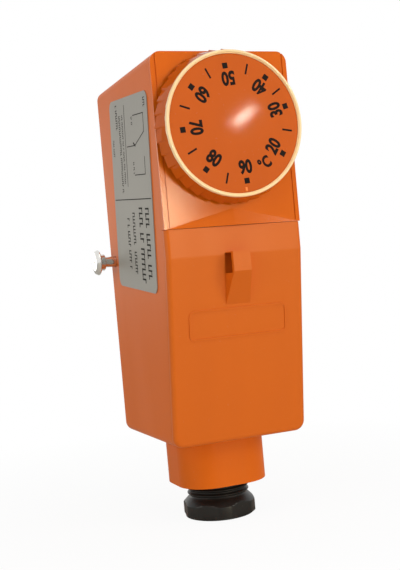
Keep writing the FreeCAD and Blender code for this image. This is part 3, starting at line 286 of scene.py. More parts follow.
@dataclass
class NodeKit:
    """Shader node groups that finishes share, with scales per metre and lengths in millimetres."""

    grain_times: float = 5.0
    grain_detail: float = 3.0
    wave_scale: float = 38.0
    wave_detail: float = 1.0
    wave_share: float = 0.55
    flow_scale: Point = (90.0, 60.0, 14.0)
    flow_detail: float = 2.0
    speck_scale: float = 1900.0
    speck_least: float = 0.83
    ring_pitch: float = 0.22
    dial_high: float = 32.5
    line_scale: Point = (3200.0, 3200.0, 120.0)
    line_detail: float = 2.0
    stain_scale: float = 260.0
    stain_detail: float = 4.0
    skin: Tree = field(init=False)
    drawn: Tree = field(init=False)
    ahead: Tree = field(init=False)
    rings: Tree = field(init=False)

    def __post_init__(self) -> None:
        """Makes the shared groups."""
        self.skin = self._moulded_skin()
        self.drawn = self._drawn_metal()
        self.ahead = self._ahead_mask()
        self.rings = self._turned_rings()

    @staticmethod
    def _open(
        name: str, inputs: dict[str, float], outputs: Sequence[str]
    ) -> tuple[Tree, Node, Node]:
        """Starts a group with number inputs and number outputs.

        Args:
            name: Name of the group.
            inputs: Starting value of each input.
            outputs: Names of what it puts out.

        Returns:
            The group, the node with its inputs and the node with its outputs.
        """
        tree = bpy.data.node_groups.new(name, "ShaderNodeTree")
        number = "NodeSocketFloat"
        for title, start in inputs.items():
            socket = tree.interface.new_socket(name=title, in_out="INPUT", socket_type=number)
            socket.default_value = start
        for title in outputs:
            tree.interface.new_socket(name=title, in_out="OUTPUT", socket_type=number)
        return tree, tree.nodes.new("NodeGroupInput"), tree.nodes.new("NodeGroupOutput")

    @staticmethod
    def _noise(tree: Tree, place: Socket, scale: object, detail: float) -> Socket:
        """Adds a noise that reads the given coordinates, and gives its strength."""
        values = {"Vector": place, "Scale": scale, "Detail": detail}
        return add_node(tree, "ShaderNodeTexNoise", values).outputs["Fac"]

    @staticmethod
    def _mapped(tree: Tree, scale: Point, shift: Point = ORIGIN) -> Socket:
        """Stretches and shifts the piece's own coordinates."""
        values = {"Vector": own_place(tree), "Location": shift, "Scale": scale}
        return add_node(tree, "ShaderNodeMapping", values).outputs["Vector"]

    def _moulded_skin(self) -> Tree:
        """Makes the skin of a moulded plastic: fine spark grain, slow sink waves, flow and dust.

        Returns:
            The group with outputs Height, Flow and Dust.
        """
        inputs = {"Grain": 0.2, "Scale": 520.0}
        tree, enter, leave = self._open("moulded_skin", inputs, ("Height", "Flow", "Dust"))
        place = own_place(tree)
        scale = worked(tree, "MULTIPLY", enter.outputs["Scale"], self.grain_times)
        fine = self._noise(tree, place, scale, self.grain_detail)
        wave = self._noise(tree, place, self.wave_scale, self.wave_detail)
        specks = self._noise(tree, place, self.speck_scale, 0.0)
        grain = worked(tree, "MULTIPLY", fine, enter.outputs["Grain"])
        slow = worked(tree, "MULTIPLY", wave, self.wave_share)
        flow = self._noise(tree, self._mapped(tree, self.flow_scale), 1.0, self.flow_detail)
        dust = worked(tree, "GREATER_THAN", specks, self.speck_least)
        fill(tree, leave, {"Height": worked(tree, "ADD", grain, slow), "Flow": flow, "Dust": dust})
        return tree

    def _ahead_mask(self) -> Tree:
        """Makes a mask of what lies in front of a depth.

        Returns:
            The group with the output Mask.
        """
        tree, enter, leave = self._open("ahead_mask", {"Depth": 0.05}, ("Mask",))
        parts = add_node(tree, "ShaderNodeSeparateXYZ", {"Vector": own_place(tree)})
        ahead = worked(tree, "MULTIPLY", parts.outputs["Y"], -1.0)
        past = worked(tree, "SUBTRACT", ahead, enter.outputs["Depth"])
        fill(tree, leave, {"Mask": worked(tree, "GREATER_THAN", past, 0.0)})
        return tree

    def _turned_rings(self) -> Tree:
        """Makes fine rings round the knob's axis.

        Returns:
            The group with the output Height.
        """
        pitch = {"Pitch": self.ring_pitch * MM}
        tree, enter, leave = self._open("turned_rings", pitch, ("Height",))
        flat = self._mapped(tree, (1.0, 0.0, 1.0), (0.0, 0.0, -self.dial_high * MM))
        turns = worked(tree, "DIVIDE", length_of(tree, flat), enter.outputs["Pitch"])
        wave = worked(tree, "SINE", worked(tree, "MULTIPLY", turns, math.tau))
        fill(tree, leave, {"Height": wave})
        return tree

    def _drawn_metal(self) -> Tree:
        """Makes the fine lines and faint stains of drawn or plated metal.

        Returns:
            The group with outputs Lines and Stain.
        """
        tree, enter, leave = self._open("drawn_metal", {"Along": 1.0}, ("Lines", "Stain"))
        lines = self._noise(tree, self._mapped(tree, self.line_scale), 1.0, self.line_detail)
        strength = worked(tree, "MULTIPLY", lines, enter.outputs["Along"])
        stain = self._noise(tree, own_place(tree), self.stain_scale, self.stain_detail)
        fill(tree, leave, {"Lines": strength, "Stain": stain})
        return tree


@dataclass(frozen=True)
class Plastic:
    """A moulded plastic finish.

    The colour drifts to its shade, where the melt flowed differently. Past the depth in polish the
    mould was polished, to the roughness beside it. Depths are in millimetres.
    """

    name: str
    colour: Colour
    shade: Colour
    rough: float
    grain: Grain = Grain.SATIN
    coat: float = 0.0
    bump: float = 0.25
    polish: Pair | None = None
    rings: float = 0.0
    uneven: float = 1.0
    shine: float = 0.35
    dust: float = 0.08
    dust_grey: float = 0.5
    least_rough: float = 0.02
    smoother: float = 0.05
    rougher: float = 0.06
    skin_deep: float = 0.12
    ring_deep: float = 0.01
    bends_light: float = 1.5
    coat_rough: float = 0.06

    def build(self, kit: NodeKit) -> Material:
        """Makes the material.

        Args:
            kit: Shared node groups.

        Returns:
            The material.
        """
        material = new_material(self.name)
        tree = material.node_tree
        depth, scale = self.grain.value
        skin = add_group(tree, kit.skin, {"Grain": depth, "Scale": scale})
        flow = skin.outputs["Flow"]
        low = max(self.least_rough, self.rough - self.smoother * self.uneven)
        rough = spread(tree, flow, low, self.rough + self.rougher * self.uneven)
        normal = embossed(tree, skin.outputs["Height"], self.bump, self.skin_deep)
        if self.polish:
            mask = add_group(tree, kit.ahead, {"Depth": self.polish[0] * MM})
            rough = mixed(tree, MixOf.NUMBERS, mask.outputs["Mask"], rough, self.polish[1])
        if self.rings:
            height = add_group(tree, kit.rings, {}).outputs["Height"]
            normal = embossed(tree, height, self.rings, self.ring_deep, Normal=normal)
        values = {
            "Base Color": self._dusted(tree, flow, skin.outputs["Dust"]),
            "Roughness": rough,
            "Normal": normal,
            "IOR": self.bends_light,
            "Specular IOR Level": self.shine,
            "Coat Weight": self.coat,
            "Coat Roughness": self.coat_rough,
        }
        fill(tree, tree.nodes["Principled BSDF"], values)
        return material

    def _dusted(self, tree: Tree, flow: Socket, dust: Socket) -> Socket:
        """Mixes the colour with its shade by the flow, and with pale specks by the dust.

        Args:
            tree: Material's tree.
            flow: Share of the shade.
            dust: Mask of the specks.

        Returns:
            The colour.
        """
        tint = mixed(tree, MixOf.COLOURS, flow, (*self.colour, 1.0), (*self.shade, 1.0))
        speck = (*((part + self.dust_grey) / 2 for part in self.colour), 1.0)
        share = worked(tree, "MULTIPLY", dust, self.dust)
        return mixed(tree, MixOf.COLOURS, share, tint, speck)


@dataclass(frozen=True)
class Metal:
    """A plated, drawn or turned metal finish, with its fine lines and faint stains."""

    name: str
    colour: Colour
    stain: Colour
    rough: float
    lines: float = 0.3
    least_rough: float = 0.03
    smoother: float = 0.08
    rougher: float = 0.12
    bump: float = 0.2
    line_deep: float = 0.03

    def build(self, kit: NodeKit) -> Material:
        """Makes the material.

        Args:
            kit: Shared node groups.

        Returns:
            The material.
        """
        material = new_material(self.name)
        tree = material.node_tree
        drawn = add_group(tree, kit.drawn, {"Along": self.lines})
        stain = drawn.outputs["Stain"]
        tint = mixed(tree, MixOf.COLOURS, stain, (*self.colour, 1.0), (*self.stain, 1.0))
        low = max(self.least_rough, self.rough - self.smoother)
        values = {
            "Metallic": 1.0,
            "Base Color": tint,
            "Roughness": spread(tree, stain, low, self.rough + self.rougher),
            "Normal": embossed(tree, drawn.outputs["Lines"], self.bump, self.line_deep),
        }
        fill(tree, tree.nodes["Principled BSDF"], values)
        return material


# The nib is moulded with the knob; its orange is painted lighter than the knob's, a painted
# highlight for the light that the raised nib catches.
ORANGE_NIB_PAINTED_HIGHLIGHT = Plastic("orange_nib_painted_highlight", (0.86, 0.22, 0.02), (0.80, 0.20, 0.018), 0.3, Grain.POLISHED)
ORANGE_COVER = Plastic("orange_cover", (0.66, 0.136, 0.006), (0.61, 0.122, 0.005), 0.40, shine=0.24)
ORANGE_CASE = Plastic(
    "orange_case", (0.70, 0.142, 0.006), (0.65, 0.128, 0.005), 0.42,
    polish=(52.6, 0.12), shine=0.14,
)
ORANGE_KNOB = Plastic(
    "orange_knob", (0.60, 0.115, 0.010), (0.55, 0.104, 0.009), 0.05, Grain.POLISHED,
    bump=0.08, rings=0.008, uneven=0.2, shine=0.17,
)
CREAM_RING = Plastic(
    "cream_ring", from_screen(253, 226, 184), from_screen(250, 218, 172), 0.28,
    Grain.POLISHED, coat=0.3,
)
DIAL_INK = Plastic(
    "dial_ink", from_screen(16, 9, 6), from_screen(24, 13, 8), 0.6, Grain.MATT, bump=0.1, shine=0.1
)
LABEL_FILM = Plastic(
    "label_film", (0.334, 0.332, 0.320), (0.307, 0.305, 0.294), 0.5, Grain.MATT, bump=0.1
)
LABEL_INK = Plastic(
    "label_ink", from_screen(30, 28, 26), from_screen(40, 38, 35), 0.6, Grain.MATT, shine=0.1
)
BLACK_GLAND = Plastic(
    "black_gland", from_screen(17, 16, 15), from_screen(12, 12, 11), 0.36, Grain.MATT
)
BLACK_RUBBER = Plastic(
    "black_rubber", from_screen(38, 38, 38), from_screen(30, 30, 30), 0.7, Grain.MATT
)
DARK_PHENOLIC = Plastic(
    "dark_phenolic", from_screen(52, 44, 38), from_screen(44, 37, 32), 0.45, Grain.MATT
)
PALE_BLOCK = Plastic(
    "pale_block", from_screen(226, 221, 206), from_screen(218, 212, 196), 0.5, Grain.MATT
)
RED_PLUNGER = Plastic("red_plunger", from_screen(188, 48, 36), from_screen(176, 42, 32), 0.35)
PLATED_STEEL = Metal("plated_steel", (0.60, 0.60, 0.58), (0.50, 0.50, 0.47), 0.26)
SCREW_STEEL = Metal("screw_steel", (0.82, 0.80, 0.72), (0.72, 0.69, 0.60), 0.18, lines=0.1)
BRIGHT_STUD = Metal("bright_stud", (0.80, 0.79, 0.76), (0.66, 0.65, 0.62), 0.16)
DARK_SPRING = Metal("dark_spring", (0.34, 0.34, 0.35), (0.26, 0.26, 0.27), 0.32)
TURNED_BRASS = Metal("turned_brass", (0.80, 0.62, 0.30), (0.70, 0.52, 0.24), 0.26)
MILLED_ALUMINIUM = Metal(
    "milled_aluminium", (0.80, 0.81, 0.82), (0.70, 0.71, 0.72), 0.30, lines=0.6
)
BIMETAL = Metal("rolled_bimetal", (0.58, 0.54, 0.48), (0.48, 0.44, 0.38), 0.30, lines=0.5)

SLOT_FINISH: dict[str, Plastic | Metal] = {
    "case": ORANGE_CASE,
    "cover": ORANGE_COVER,
    "knob": ORANGE_KNOB,
    "ring": CREAM_RING,
    "stud": BRIGHT_STUD,
    "label": LABEL_FILM,
    "gland": BLACK_GLAND,
    "washer": PLATED_STEEL,
    "seal": BLACK_RUBBER,
    "plate": PLATED_STEEL,
    "sensing": MILLED_ALUMINIUM,
    "screw": SCREW_STEEL,
    "rivet": MILLED_ALUMINIUM,
    "bimetal": BIMETAL,
    "chassis": PLATED_STEEL,
    "brass": TURNED_BRASS,
    "steel": BRIGHT_STUD,
    "spring": DARK_SPRING,
    "phenolic": DARK_PHENOLIC,
    "plunger": RED_PLUNGER,
    "block": PALE_BLOCK,
}


class Wardrobe:
    """Keeps one built material per finish and dresses pieces with them."""

    def __init__(self) -> None:
        """Makes the shared groups and an empty store."""
        self.kit = NodeKit()
        self.made: dict[str, Material] = {}

    def material(self, finish: Plastic | Metal) -> Material:
        """Gives the material of a finish, building it once.

        Args:
            finish: The finish.

        Returns:
            Its material.
        """
        if finish.name not in self.made:
            self.made[finish.name] = finish.build(self.kit)
        return self.made[finish.name]

    def dress(self, thing: Thing, finish: Plastic | Metal) -> None:
        """Gives an object one finish all over."""
        thing.data.materials.clear()
        thing.data.materials.append(self.material(finish))

    def dress_solids(self) -> None:
        """Gives every solid of the frame the finish of its material slot."""
        slots = {part["node"]: part["material_slot"] for part in frame["record"]["subparts"]}
        for node, thing in frame["nodes"].items():
            self.dress(thing, SLOT_FINISH[slots[node]])


@dataclass(frozen=True)
class Lamp:
    """A soft rectangular lamp: place, aim and sides in metres, power in watts, roll in degrees."""

    name: str
    place: Point
    aim: Point
    sides: Pair
    power: float
    tint: Colour = WARM_WHITE
    roll: float = 0.0

    def build(self) -> None:
        """Adds the lamp to the scene, turned towards its aim."""
        data = bpy.data.lights.new(self.name, "AREA")
        data.shape = "RECTANGLE"
        data.size, data.size_y = self.sides
        data.energy = self.power
        data.color = self.tint
        lamp = bpy.data.objects.new(self.name, data)
        bpy.context.scene.collection.objects.link(lamp)
        look = Vector(self.aim) - Vector(self.place)
        turn = look.to_track_quat("-Z", "Y").to_matrix().to_4x4()
        roll = Matrix.Rotation(math.radians(self.roll), 4, "Z")
        lamp.matrix_world = Matrix.Translation(Vector(self.place)) @ turn @ roll


PART_MIDDLE: Point = (0.0, -0.04, 0.0)
DIAL_SPOT: Point = (0.004, -0.06, 0.034)
SMALL_PANEL = (0.45, 0.45)
LARGE_PANEL = (0.9, 0.9)
LAMPS = (
    Lamp("key_window", (0.305, -1.13, 0.07), (0.0, -0.04, 0.02), (0.17, 0.13), 3.6, LOW_SUN),
    Lamp("dial_glint", (0.5025, -1.131, 0.226), DIAL_SPOT, (0.035, 0.008), 0.09, roll=35.0),
    Lamp("front_panel", (0.90, -1.00, 0.50), PART_MIDDLE, SMALL_PANEL, 5.5),
    Lamp("overhead_panel", (-0.1, -0.6, 1.1), PART_MIDDLE, LARGE_PANEL, 3.6),
    Lamp("left_fill", (-1.1, -0.3, 0.25), PART_MIDDLE, LARGE_PANEL, 5.0),
    Lamp("back_card", (-0.33, 1.16, 0.10), (-0.02, 0.0, 0.0), (0.25, 0.25), 0.35),
)


@dataclass
class Studio:
    """Camera, lamps, world and floor, in metres, with the lens in millimetres."""

    eye: Point = (-0.10404, -0.28859, -0.00652)
    ahead: Point = (0.3661, 0.9305, -0.0105)
    upward: Point = (0.0865, -0.0228, 0.9960)
    lens: float = 60.03
    sensor: float = 36.0
    nearest: float = 0.01
    farthest: float = 20.0
    sky_strength: float = 0.25
    floor_high: float = -0.0782
    floor_radius: float = 4.0
    floor_sides: int = 64
    floor_grey: float = 0.9
    shadow_from: float = 0.03
    shadow_to: float = 0.17
    glow_near: float = 0.90

    def build(self) -> None:
        """Sets up the whole studio."""
        self._camera()
        self._world()
        for lamp in LAMPS:
            lamp.build()
        self._floor()
        bpy.context.scene.view_settings.view_transform = "Standard"

    def _camera(self) -> None:
        """Places the camera at the photograph's eye point."""
        data = bpy.data.cameras.new("view_camera")
        data.lens = self.lens
        data.sensor_width = self.sensor
        data.clip_start = self.nearest
        data.clip_end = self.farthest
        camera = bpy.data.objects.new("view_camera", data)
        bpy.context.scene.collection.objects.link(camera)
        back = -Vector(self.ahead).normalized()
        right = Vector(self.upward).cross(back).normalized()
        turn = Matrix((right, back.cross(right), back)).transposed().to_4x4()
        camera.matrix_world = Matrix.Translation(Vector(self.eye)) @ turn
        bpy.context.scene.camera = camera

    def _world(self) -> None:
        """Lays a soft pale sky that the camera and mirrors see as white."""
        world = bpy.data.worlds.new("studio_world")
        bpy.context.scene.world = world
        world.use_nodes = True
        tree = world.node_tree
        tree.nodes.clear()
        kind = "ShaderNodeBackground"
        soft = add_node(tree, kind, {"Color": (*SOFT_SKY, 1.0), "Strength": self.sky_strength})
        white = add_node(tree, kind, {"Color": (*PURE_WHITE, 1.0), "Strength": 1.0})
        path = tree.nodes.new("ShaderNodeLightPath")
        seen = path.outputs["Is Camera Ray"]
        for ray in ("Is Glossy Ray", "Is Transmission Ray"):
            seen = worked(tree, "MAXIMUM", seen, path.outputs[ray])
        sky = mixed_shaders(tree, seen, soft, white)
        add_node(tree, "ShaderNodeOutputWorld", {"Surface": sky})

    def _floor(self) -> None:
        """Lays a round pale floor."""
        mesh = bpy.data.meshes.new("floor")
        shape = bmesh.new()
        sides, radius = self.floor_sides, self.floor_radius
        bmesh.ops.create_circle(shape, cap_ends=True, segments=sides, radius=radius)
        bmesh.ops.translate(shape, verts=shape.verts, vec=(0.0, 0.0, self.floor_high))
        shape.to_mesh(mesh)
        shape.free()
        floor = bpy.data.objects.new("floor", mesh)
        bpy.context.scene.collection.objects.link(floor)
        mesh.materials.append(self._pale_floor())

    def _pale_floor(self) -> Material:
        """Makes a floor that the camera sees as white, less some of the part's shadow near it.

        Returns:
            The material.
        """
        material = new_material("pale_floor")
        tree = material.node_tree
        grey = (self.floor_grey,) * 3
        values = {"Base Color": (*grey, 1.0), "Roughness": 0.9, "Specular IOR Level": 0.1}
        lit = fill(tree, tree.nodes["Principled BSDF"], values)
        glow = add_node(tree, "ShaderNodeEmission", {"Strength": 1.0})
        far = length_of(tree, own_place(tree))
        fade = spread(tree, far, self.glow_near, 1.0, self.shadow_from, self.shadow_to)
        path = tree.nodes.new("ShaderNodeLightPath")
        share = worked(tree, "MULTIPLY", path.outputs["Is Camera Ray"], fade)
        surface = mixed_shaders(tree, share, lit, glow)
        fill(tree, tree.nodes["Material Output"], {"Surface": surface})
        return material


def turn_round(shape: Shape, corners: Sequence[Corner], angle: float, axis: str) -> None:
    """Turns corners round an axis through the origin, by an angle in radians."""
    turn = Matrix.Rotation(angle, 3, axis)
    bmesh.ops.rotate(shape, verts=corners, cent=ORIGIN, matrix=turn)


def shift_by(shape: Shape, corners: Sequence[Corner], x: float, y: float, z: float) -> None:
    """Moves corners by a number of millimetres each way."""
    bmesh.ops.translate(shape, verts=corners, vec=(x * MM, y * MM, z * MM))


def thicken(shape: Shape, corners: Sequence[Corner], thick: float) -> None:
    """Gives flat print its thickness, in millimetres."""
    faces = list(dict.fromkeys(face for corner in corners for face in corner.link_faces))
    bmesh.ops.solidify(shape, geom=faces, thickness=thick * MM)


def finished(name: str, shape: Shape, smooth: float = 35.0) -> Thing:
    """Turns a finished shape into an object that stands at the origin.

    Args:
        name: Name of the object.
        shape: Shape, in metres and in place; it is freed.
        smooth: Angle in degrees under which faces are shaded as one.

    Returns:
        The object.
    """
    bmesh.ops.remove_doubles(shape, verts=shape.verts, dist=SAME_PLACE)
    bmesh.ops.recalc_face_normals(shape, faces=shape.faces)
    limit = math.radians(smooth)
    for face in shape.faces:
        face.smooth = True
    for edge in shape.edges:
        edge.smooth = len(edge.link_faces) == 2 and edge.calc_face_angle(0.0) < limit
    mesh = bpy.data.meshes.new(name)
    shape.to_mesh(mesh)
    shape.free()
    thing = bpy.data.objects.new(name, mesh)
    bpy.context.scene.collection.objects.link(thing)
    return thing


def lathe(profile: Profile, steps: int) -> Shape:
    """Spins a closed run of points, radius and height in millimetres, round the upright axis.

    Args:
        profile: Radius and height of each corner.
        steps: Number of steps in the full turn.

    Returns:
        The shape, upright, in metres.
    """
    shape = bmesh.new()
    ring = [shape.verts.new((radius * MM, 0.0, high * MM)) for radius, high in profile]
    edges = [shape.edges.new((ring[at], ring[(at + 1) % len(ring)])) for at in range(len(ring))]
    bmesh.ops.spin(
        shape, geom=ring + edges, cent=ORIGIN, axis=(0, 0, 1), dvec=ORIGIN, angle=math.tau,
        steps=steps, use_merge=True, use_duplicate=False,
    )
    return shape


def settle(thing: Thing, body: Body, slot: str, *nodes: str) -> None:
    """Ties a piece to its body and hides the solids that it stands for.

    Args:
        thing: The piece.
        body: Body that it rides on.
        slot: Material slot of the record; not used.
        nodes: Solids that it replaces.
    """
    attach(thing, body.value)
    if nodes:
        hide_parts(*nodes)
    LOG.info("%s rides on %s with %d faces", thing.name, body.value, len(thing.data.polygons))


@dataclass(frozen=True)
class Mark:
    """A printed mark of the dial: its length along the radius, its width and its distance out."""

    long: float
    wide: float
    far: float


@dataclass
class SettingKnob:
    """Ribbed knob with its dial, pale ring and printed scale, in millimetres and degrees."""

    face: float = 53.2
    high: float = 32.5
    gap: float = 1.75
    rim_proud: float = 6.2
    skirt: float = 20.9
    tooth: float = 0.46
    tooth_lead: float = 0.12
    shoulder_teeth: float = 0.35
    rim_teeth: float = 0.1
    rim: float = 19.56
    ribs: int = 36
    foot_edge: Pair = (0.12, 0.35)
    foot_land: float = 0.5
    shoulder: Pair = (0.18, 0.5)
    dial_rise: float = 0.4
    dial_thick: float = 1.8
    dial_edge: Pair = (0.16, 0.12)
    dial_rows: Pair = (9.25, 2.0)
    wall: float = 1.4
    hub: float = 5.5
    hub_bore: float = 3.0
    hub_foot: float = 0.7
    hub_bore_top: float = 5.3
    ring_wide: float = 1.0
    ring_tall: float = 0.93
    ring_sunk: float = 0.35
    ring_bead: float = 0.4
    ring_inside: tuple = ((0.86, 0.52), (1.0, 0.6))
    ring_edge: float = 0.06
    ring_steps: int = 180
    nib_sides: Point = (1.1, 0.7, 0.3)
    nib_bevel: float = 0.1
    nib_far: float = 17.6
    nib_turn: float = -85.0
    square: Mark = Mark(1.5, 1.5, 15.35)
    tick: Mark = Mark(2.9, 0.5, 14.9)
    mark_off: Pair = (0.35, 0.0)
    figure_off: Pair = (0.6, 0.15)
    figure_far: float = 11.8
    figure_tall: float = 3.9
    figure_bold: float = 0.042
    figure_narrow: float = 0.78
    sign_far: float = 12.9
    sign_tall: float = 3.5
    sign_turn: float = -57.5
    print_rise: float = 0.02
    print_thick: float = 0.03
    marks: dict[int, float] = field(default_factory=lambda: {
        20: -33.3, 25: -8.5, 30: 16.1, 35: 33.5, 40: 51.5, 45: 73.5, 50: 97.1, 55: 117.7,
        60: 140.8, 65: 162.5, 70: 185.1, 75: 207.9, 80: 230.5, 85: 254.3, 90: 276.0,
    })

    def build(self, wardrobe: Wardrobe) -> None:
        """Builds and dresses all pieces of the knob.

        Args:
            wardrobe: Store of materials.
        """
        pieces = (
            (self._grip(), ORANGE_KNOB, "knob", ("knob",)),
            (self._ring(), CREAM_RING, "ring", ("dial_ring",)),
            (self._scale(), DIAL_INK, "knob", ()),
            # The nib's lighter orange is a painted highlight.
            (self._nib(), ORANGE_NIB_PAINTED_HIGHLIGHT, "knob", ()),
        )
        for piece, finish, slot, nodes in pieces:
            wardrobe.dress(piece, finish)
            settle(piece, Body.KNOB, slot, *nodes)

    @property
    def dial(self) -> float:
        """Height of the dial's face over the case."""
        return self.rim_proud + self.dial_rise

    def _put_on(self, name: str, shape: Shape, smooth: float = 35.0) -> Thing:
        """Turns an upright shape to the front, puts it on the case and finishes it.

        Args:
            name: Name of the piece.
            shape: Shape whose outward axis is its local Z.
            smooth: Angle in degrees under which faces are shaded as one.

        Returns:
            The piece.
        """
        turn_round(shape, shape.verts, QUARTER_TURN, "X")
        shift_by(shape, shape.verts, 0.0, -self.face, self.high)
        return finished(name, shape, smooth)

    def _place(self, number: int, radius: float, high: float, tooth: float | None) -> Vector:
        """Place of one corner of the outline.

        Args:
            number: Number of the corner, even on a ridge and odd in a valley.
            radius: Radius of the ridges, in millimetres.
            high: Height over the case.
            tooth: Depth of the teeth, or None on a plain round run.

        Returns:
            The place, in metres.
        """
        step = math.tau / self.ribs
        valley = number % 2 == 1
        if tooth is None:
            turn = number * step / 2
        else:
            turn = number // 2 * step + (step * self.tooth_lead if valley else 0.0)
        far = radius - (tooth if tooth and valley else 0.0)
        return Vector((far * math.cos(turn), far * math.sin(turn), high)) * MM

    def _extrude(
        self, shape: Shape, edges: list[Edge], numbers: dict[Corner, int], row: tuple
    ) -> list[Edge]:
        """Extrudes a run and places its corners by number.

        Args:
            shape: Shape that it belongs to.
            edges: Run to extrude.
            numbers: Number of each corner, which gains the new ones.
            row: Radius, height and depth of the teeth of the new run.

        Returns:
            The new run.
        """
        old = {corner for edge in edges for corner in edge.verts}
        made = bmesh.ops.extrude_edge_only(shape, edges=edges)["geom"]
        fresh = [item for item in made if isinstance(item, Corner)]
        for corner in fresh:
            ends = (edge.other_vert(corner) for edge in corner.link_edges)
            numbers[corner] = numbers[next(end for end in ends if end in old)]
        for corner in fresh:
            corner.co = self._place(numbers[corner], *row)
        return [item for item in made if isinstance(item, Edge)]

    def _grip(self) -> Thing:
        """Shapes the skirt with its ridges, the dial face, the inner wall and the hub.

        Returns:
            The knob's body.
        """
        shape = bmesh.new()
        count = 2 * self.ribs
        bmesh.ops.create_circle(shape, cap_ends=False, segments=count, radius=self.skirt * MM)
        ordered = sorted(shape.verts, key=lambda v: math.atan2(v.co.y, v.co.x) % math.tau)
        for number, corner in enumerate(ordered):
            corner.co = self._place(number, self.skirt, self.gap, self.tooth)
        numbers = {corner: number for number, corner in enumerate(ordered)}
        foot = list(shape.edges)
        ring_out = self.rim - self.ring_edge
        ring_in = ring_out - self.ring_wide
        hollow = self.rim - self.wall
        behind = self.dial - self.dial_thick
        edge_in, edge_up = self.foot_edge
        out, down = self.shoulder
        outer = (
            (self.skirt - edge_in, self.gap + edge_up, self.tooth),
            (self.rim + out, self.rim_proud - down, self.tooth * self.shoulder_teeth),
            (self.rim, self.rim_proud, self.tooth * self.rim_teeth),
            (ring_out, self.rim_proud, None),
            (ring_in, self.rim_proud, None),
            (ring_in - 0.02, self.dial - self.dial_edge[1], None),
            (ring_in - self.dial_edge[0], self.dial, None),
            *((far, self.dial, None) for far in self.dial_rows),
        )
        inner = (
            (self.skirt - self.tooth - self.foot_land, self.gap, None),
            (hollow, self.gap, None),
            (hollow, behind, None),
            (self.hub, behind, None),
            (self.hub, self.hub_foot, None),
            (self.hub_bore, self.hub_foot, None),
            (self.hub_bore, self.hub_bore_top, None),
        )
        for rows in (outer, inner):
            run = foot
            for row in rows:
                run = self._extrude(shape, run, numbers, row)
            bmesh.ops.holes_fill(shape, edges=run, sides=0)
        return self._put_on("knob_body", shape, smooth=22.0)

    def _ring(self) -> Thing:
        """Turns the pale ring: a rounded bead with a fine step on its inner side.

        Returns:
            The ring.
        """
        out = self.rim - self.ring_edge
        base = self.rim_proud
        bead = self.ring_wide * self.ring_bead
        half = self.ring_tall / 2
        arc = 8
        profile = [(out - self.ring_wide, base - self.ring_sunk), (out, base - self.ring_sunk)]
        for step in range(arc + 1):
            turn = math.pi * step / arc
            far = out - bead + bead * math.cos(turn)
            profile.append((far, base + half + half * math.sin(turn)))
        for wide, tall in self.ring_inside:
            profile.append((out - self.ring_wide * wide, base + self.ring_tall * tall))
        return self._put_on("dial_ring_bead", lathe(profile, self.ring_steps), smooth=50.0)

    def _nib(self) -> Thing:
        """Raises the small moulded nib under the last square.

        Returns:
            The nib.
        """
        shape = bmesh.new()
        bmesh.ops.create_cube(shape, size=1.0)
        bmesh.ops.scale(shape, verts=shape.verts, vec=[side * MM for side in self.nib_sides])
        upper = [edge for edge in shape.edges if all(corner.co.z > 0 for corner in edge.verts)]
        bmesh.ops.bevel(
            shape, geom=upper, offset=self.nib_bevel * MM, segments=2, profile=0.5,
            affect="EDGES", material=-1,
        )
        shift_by(shape, shape.verts, self.nib_far, 0.0, self.dial + self.nib_bevel)
        turn_round(shape, shape.verts, math.radians(self.nib_turn), "Z")
        return self._put_on("dial_nib", shape)

    def _scale(self) -> Thing:
        """Prints the figures, ticks and squares on the dial, each kind off its middle as printed.

        Returns:
            All print as one piece.
        """
        shape = bmesh.new()
        for value, degrees in self.marks.items():
            self._patch(shape, self.tick if value % 10 else self.square, math.radians(degrees))
        shift_by(shape, shape.verts, *self.mark_off, 0.0)
        marks = set(shape.verts)
        for value, degrees in self.marks.items():
            if value % 10 == 0:
                self._figure(shape, str(value), self.figure_far, degrees, self.figure_tall)
        sign = "\N{DEGREE SIGN}C"
        self._figure(shape, sign, self.sign_far, self.sign_turn, self.sign_tall)
        figures = [corner for corner in shape.verts if corner not in marks]
        shift_by(shape, figures, *self.figure_off, 0.0)
        return self._put_on("dial_scale", shape, smooth=20.0)

    def _patch(self, shape: Shape, mark: Mark, turn: float) -> None:
        """Adds one printed mark whose length points at the middle.

        Args:
            shape: Shape to add to.
            mark: Sizes of the mark.
            turn: Angle in radians.
        """
        made = bmesh.ops.create_grid(shape, x_segments=1, y_segments=1, size=0.5)["verts"]
        bmesh.ops.scale(shape, verts=made, vec=(mark.long * MM, mark.wide * MM, 1.0))
        shift_by(shape, made, mark.far, 0.0, self.dial + self.print_rise)
        turn_round(shape, made, turn, "Z")
        thicken(shape, made, self.print_thick)

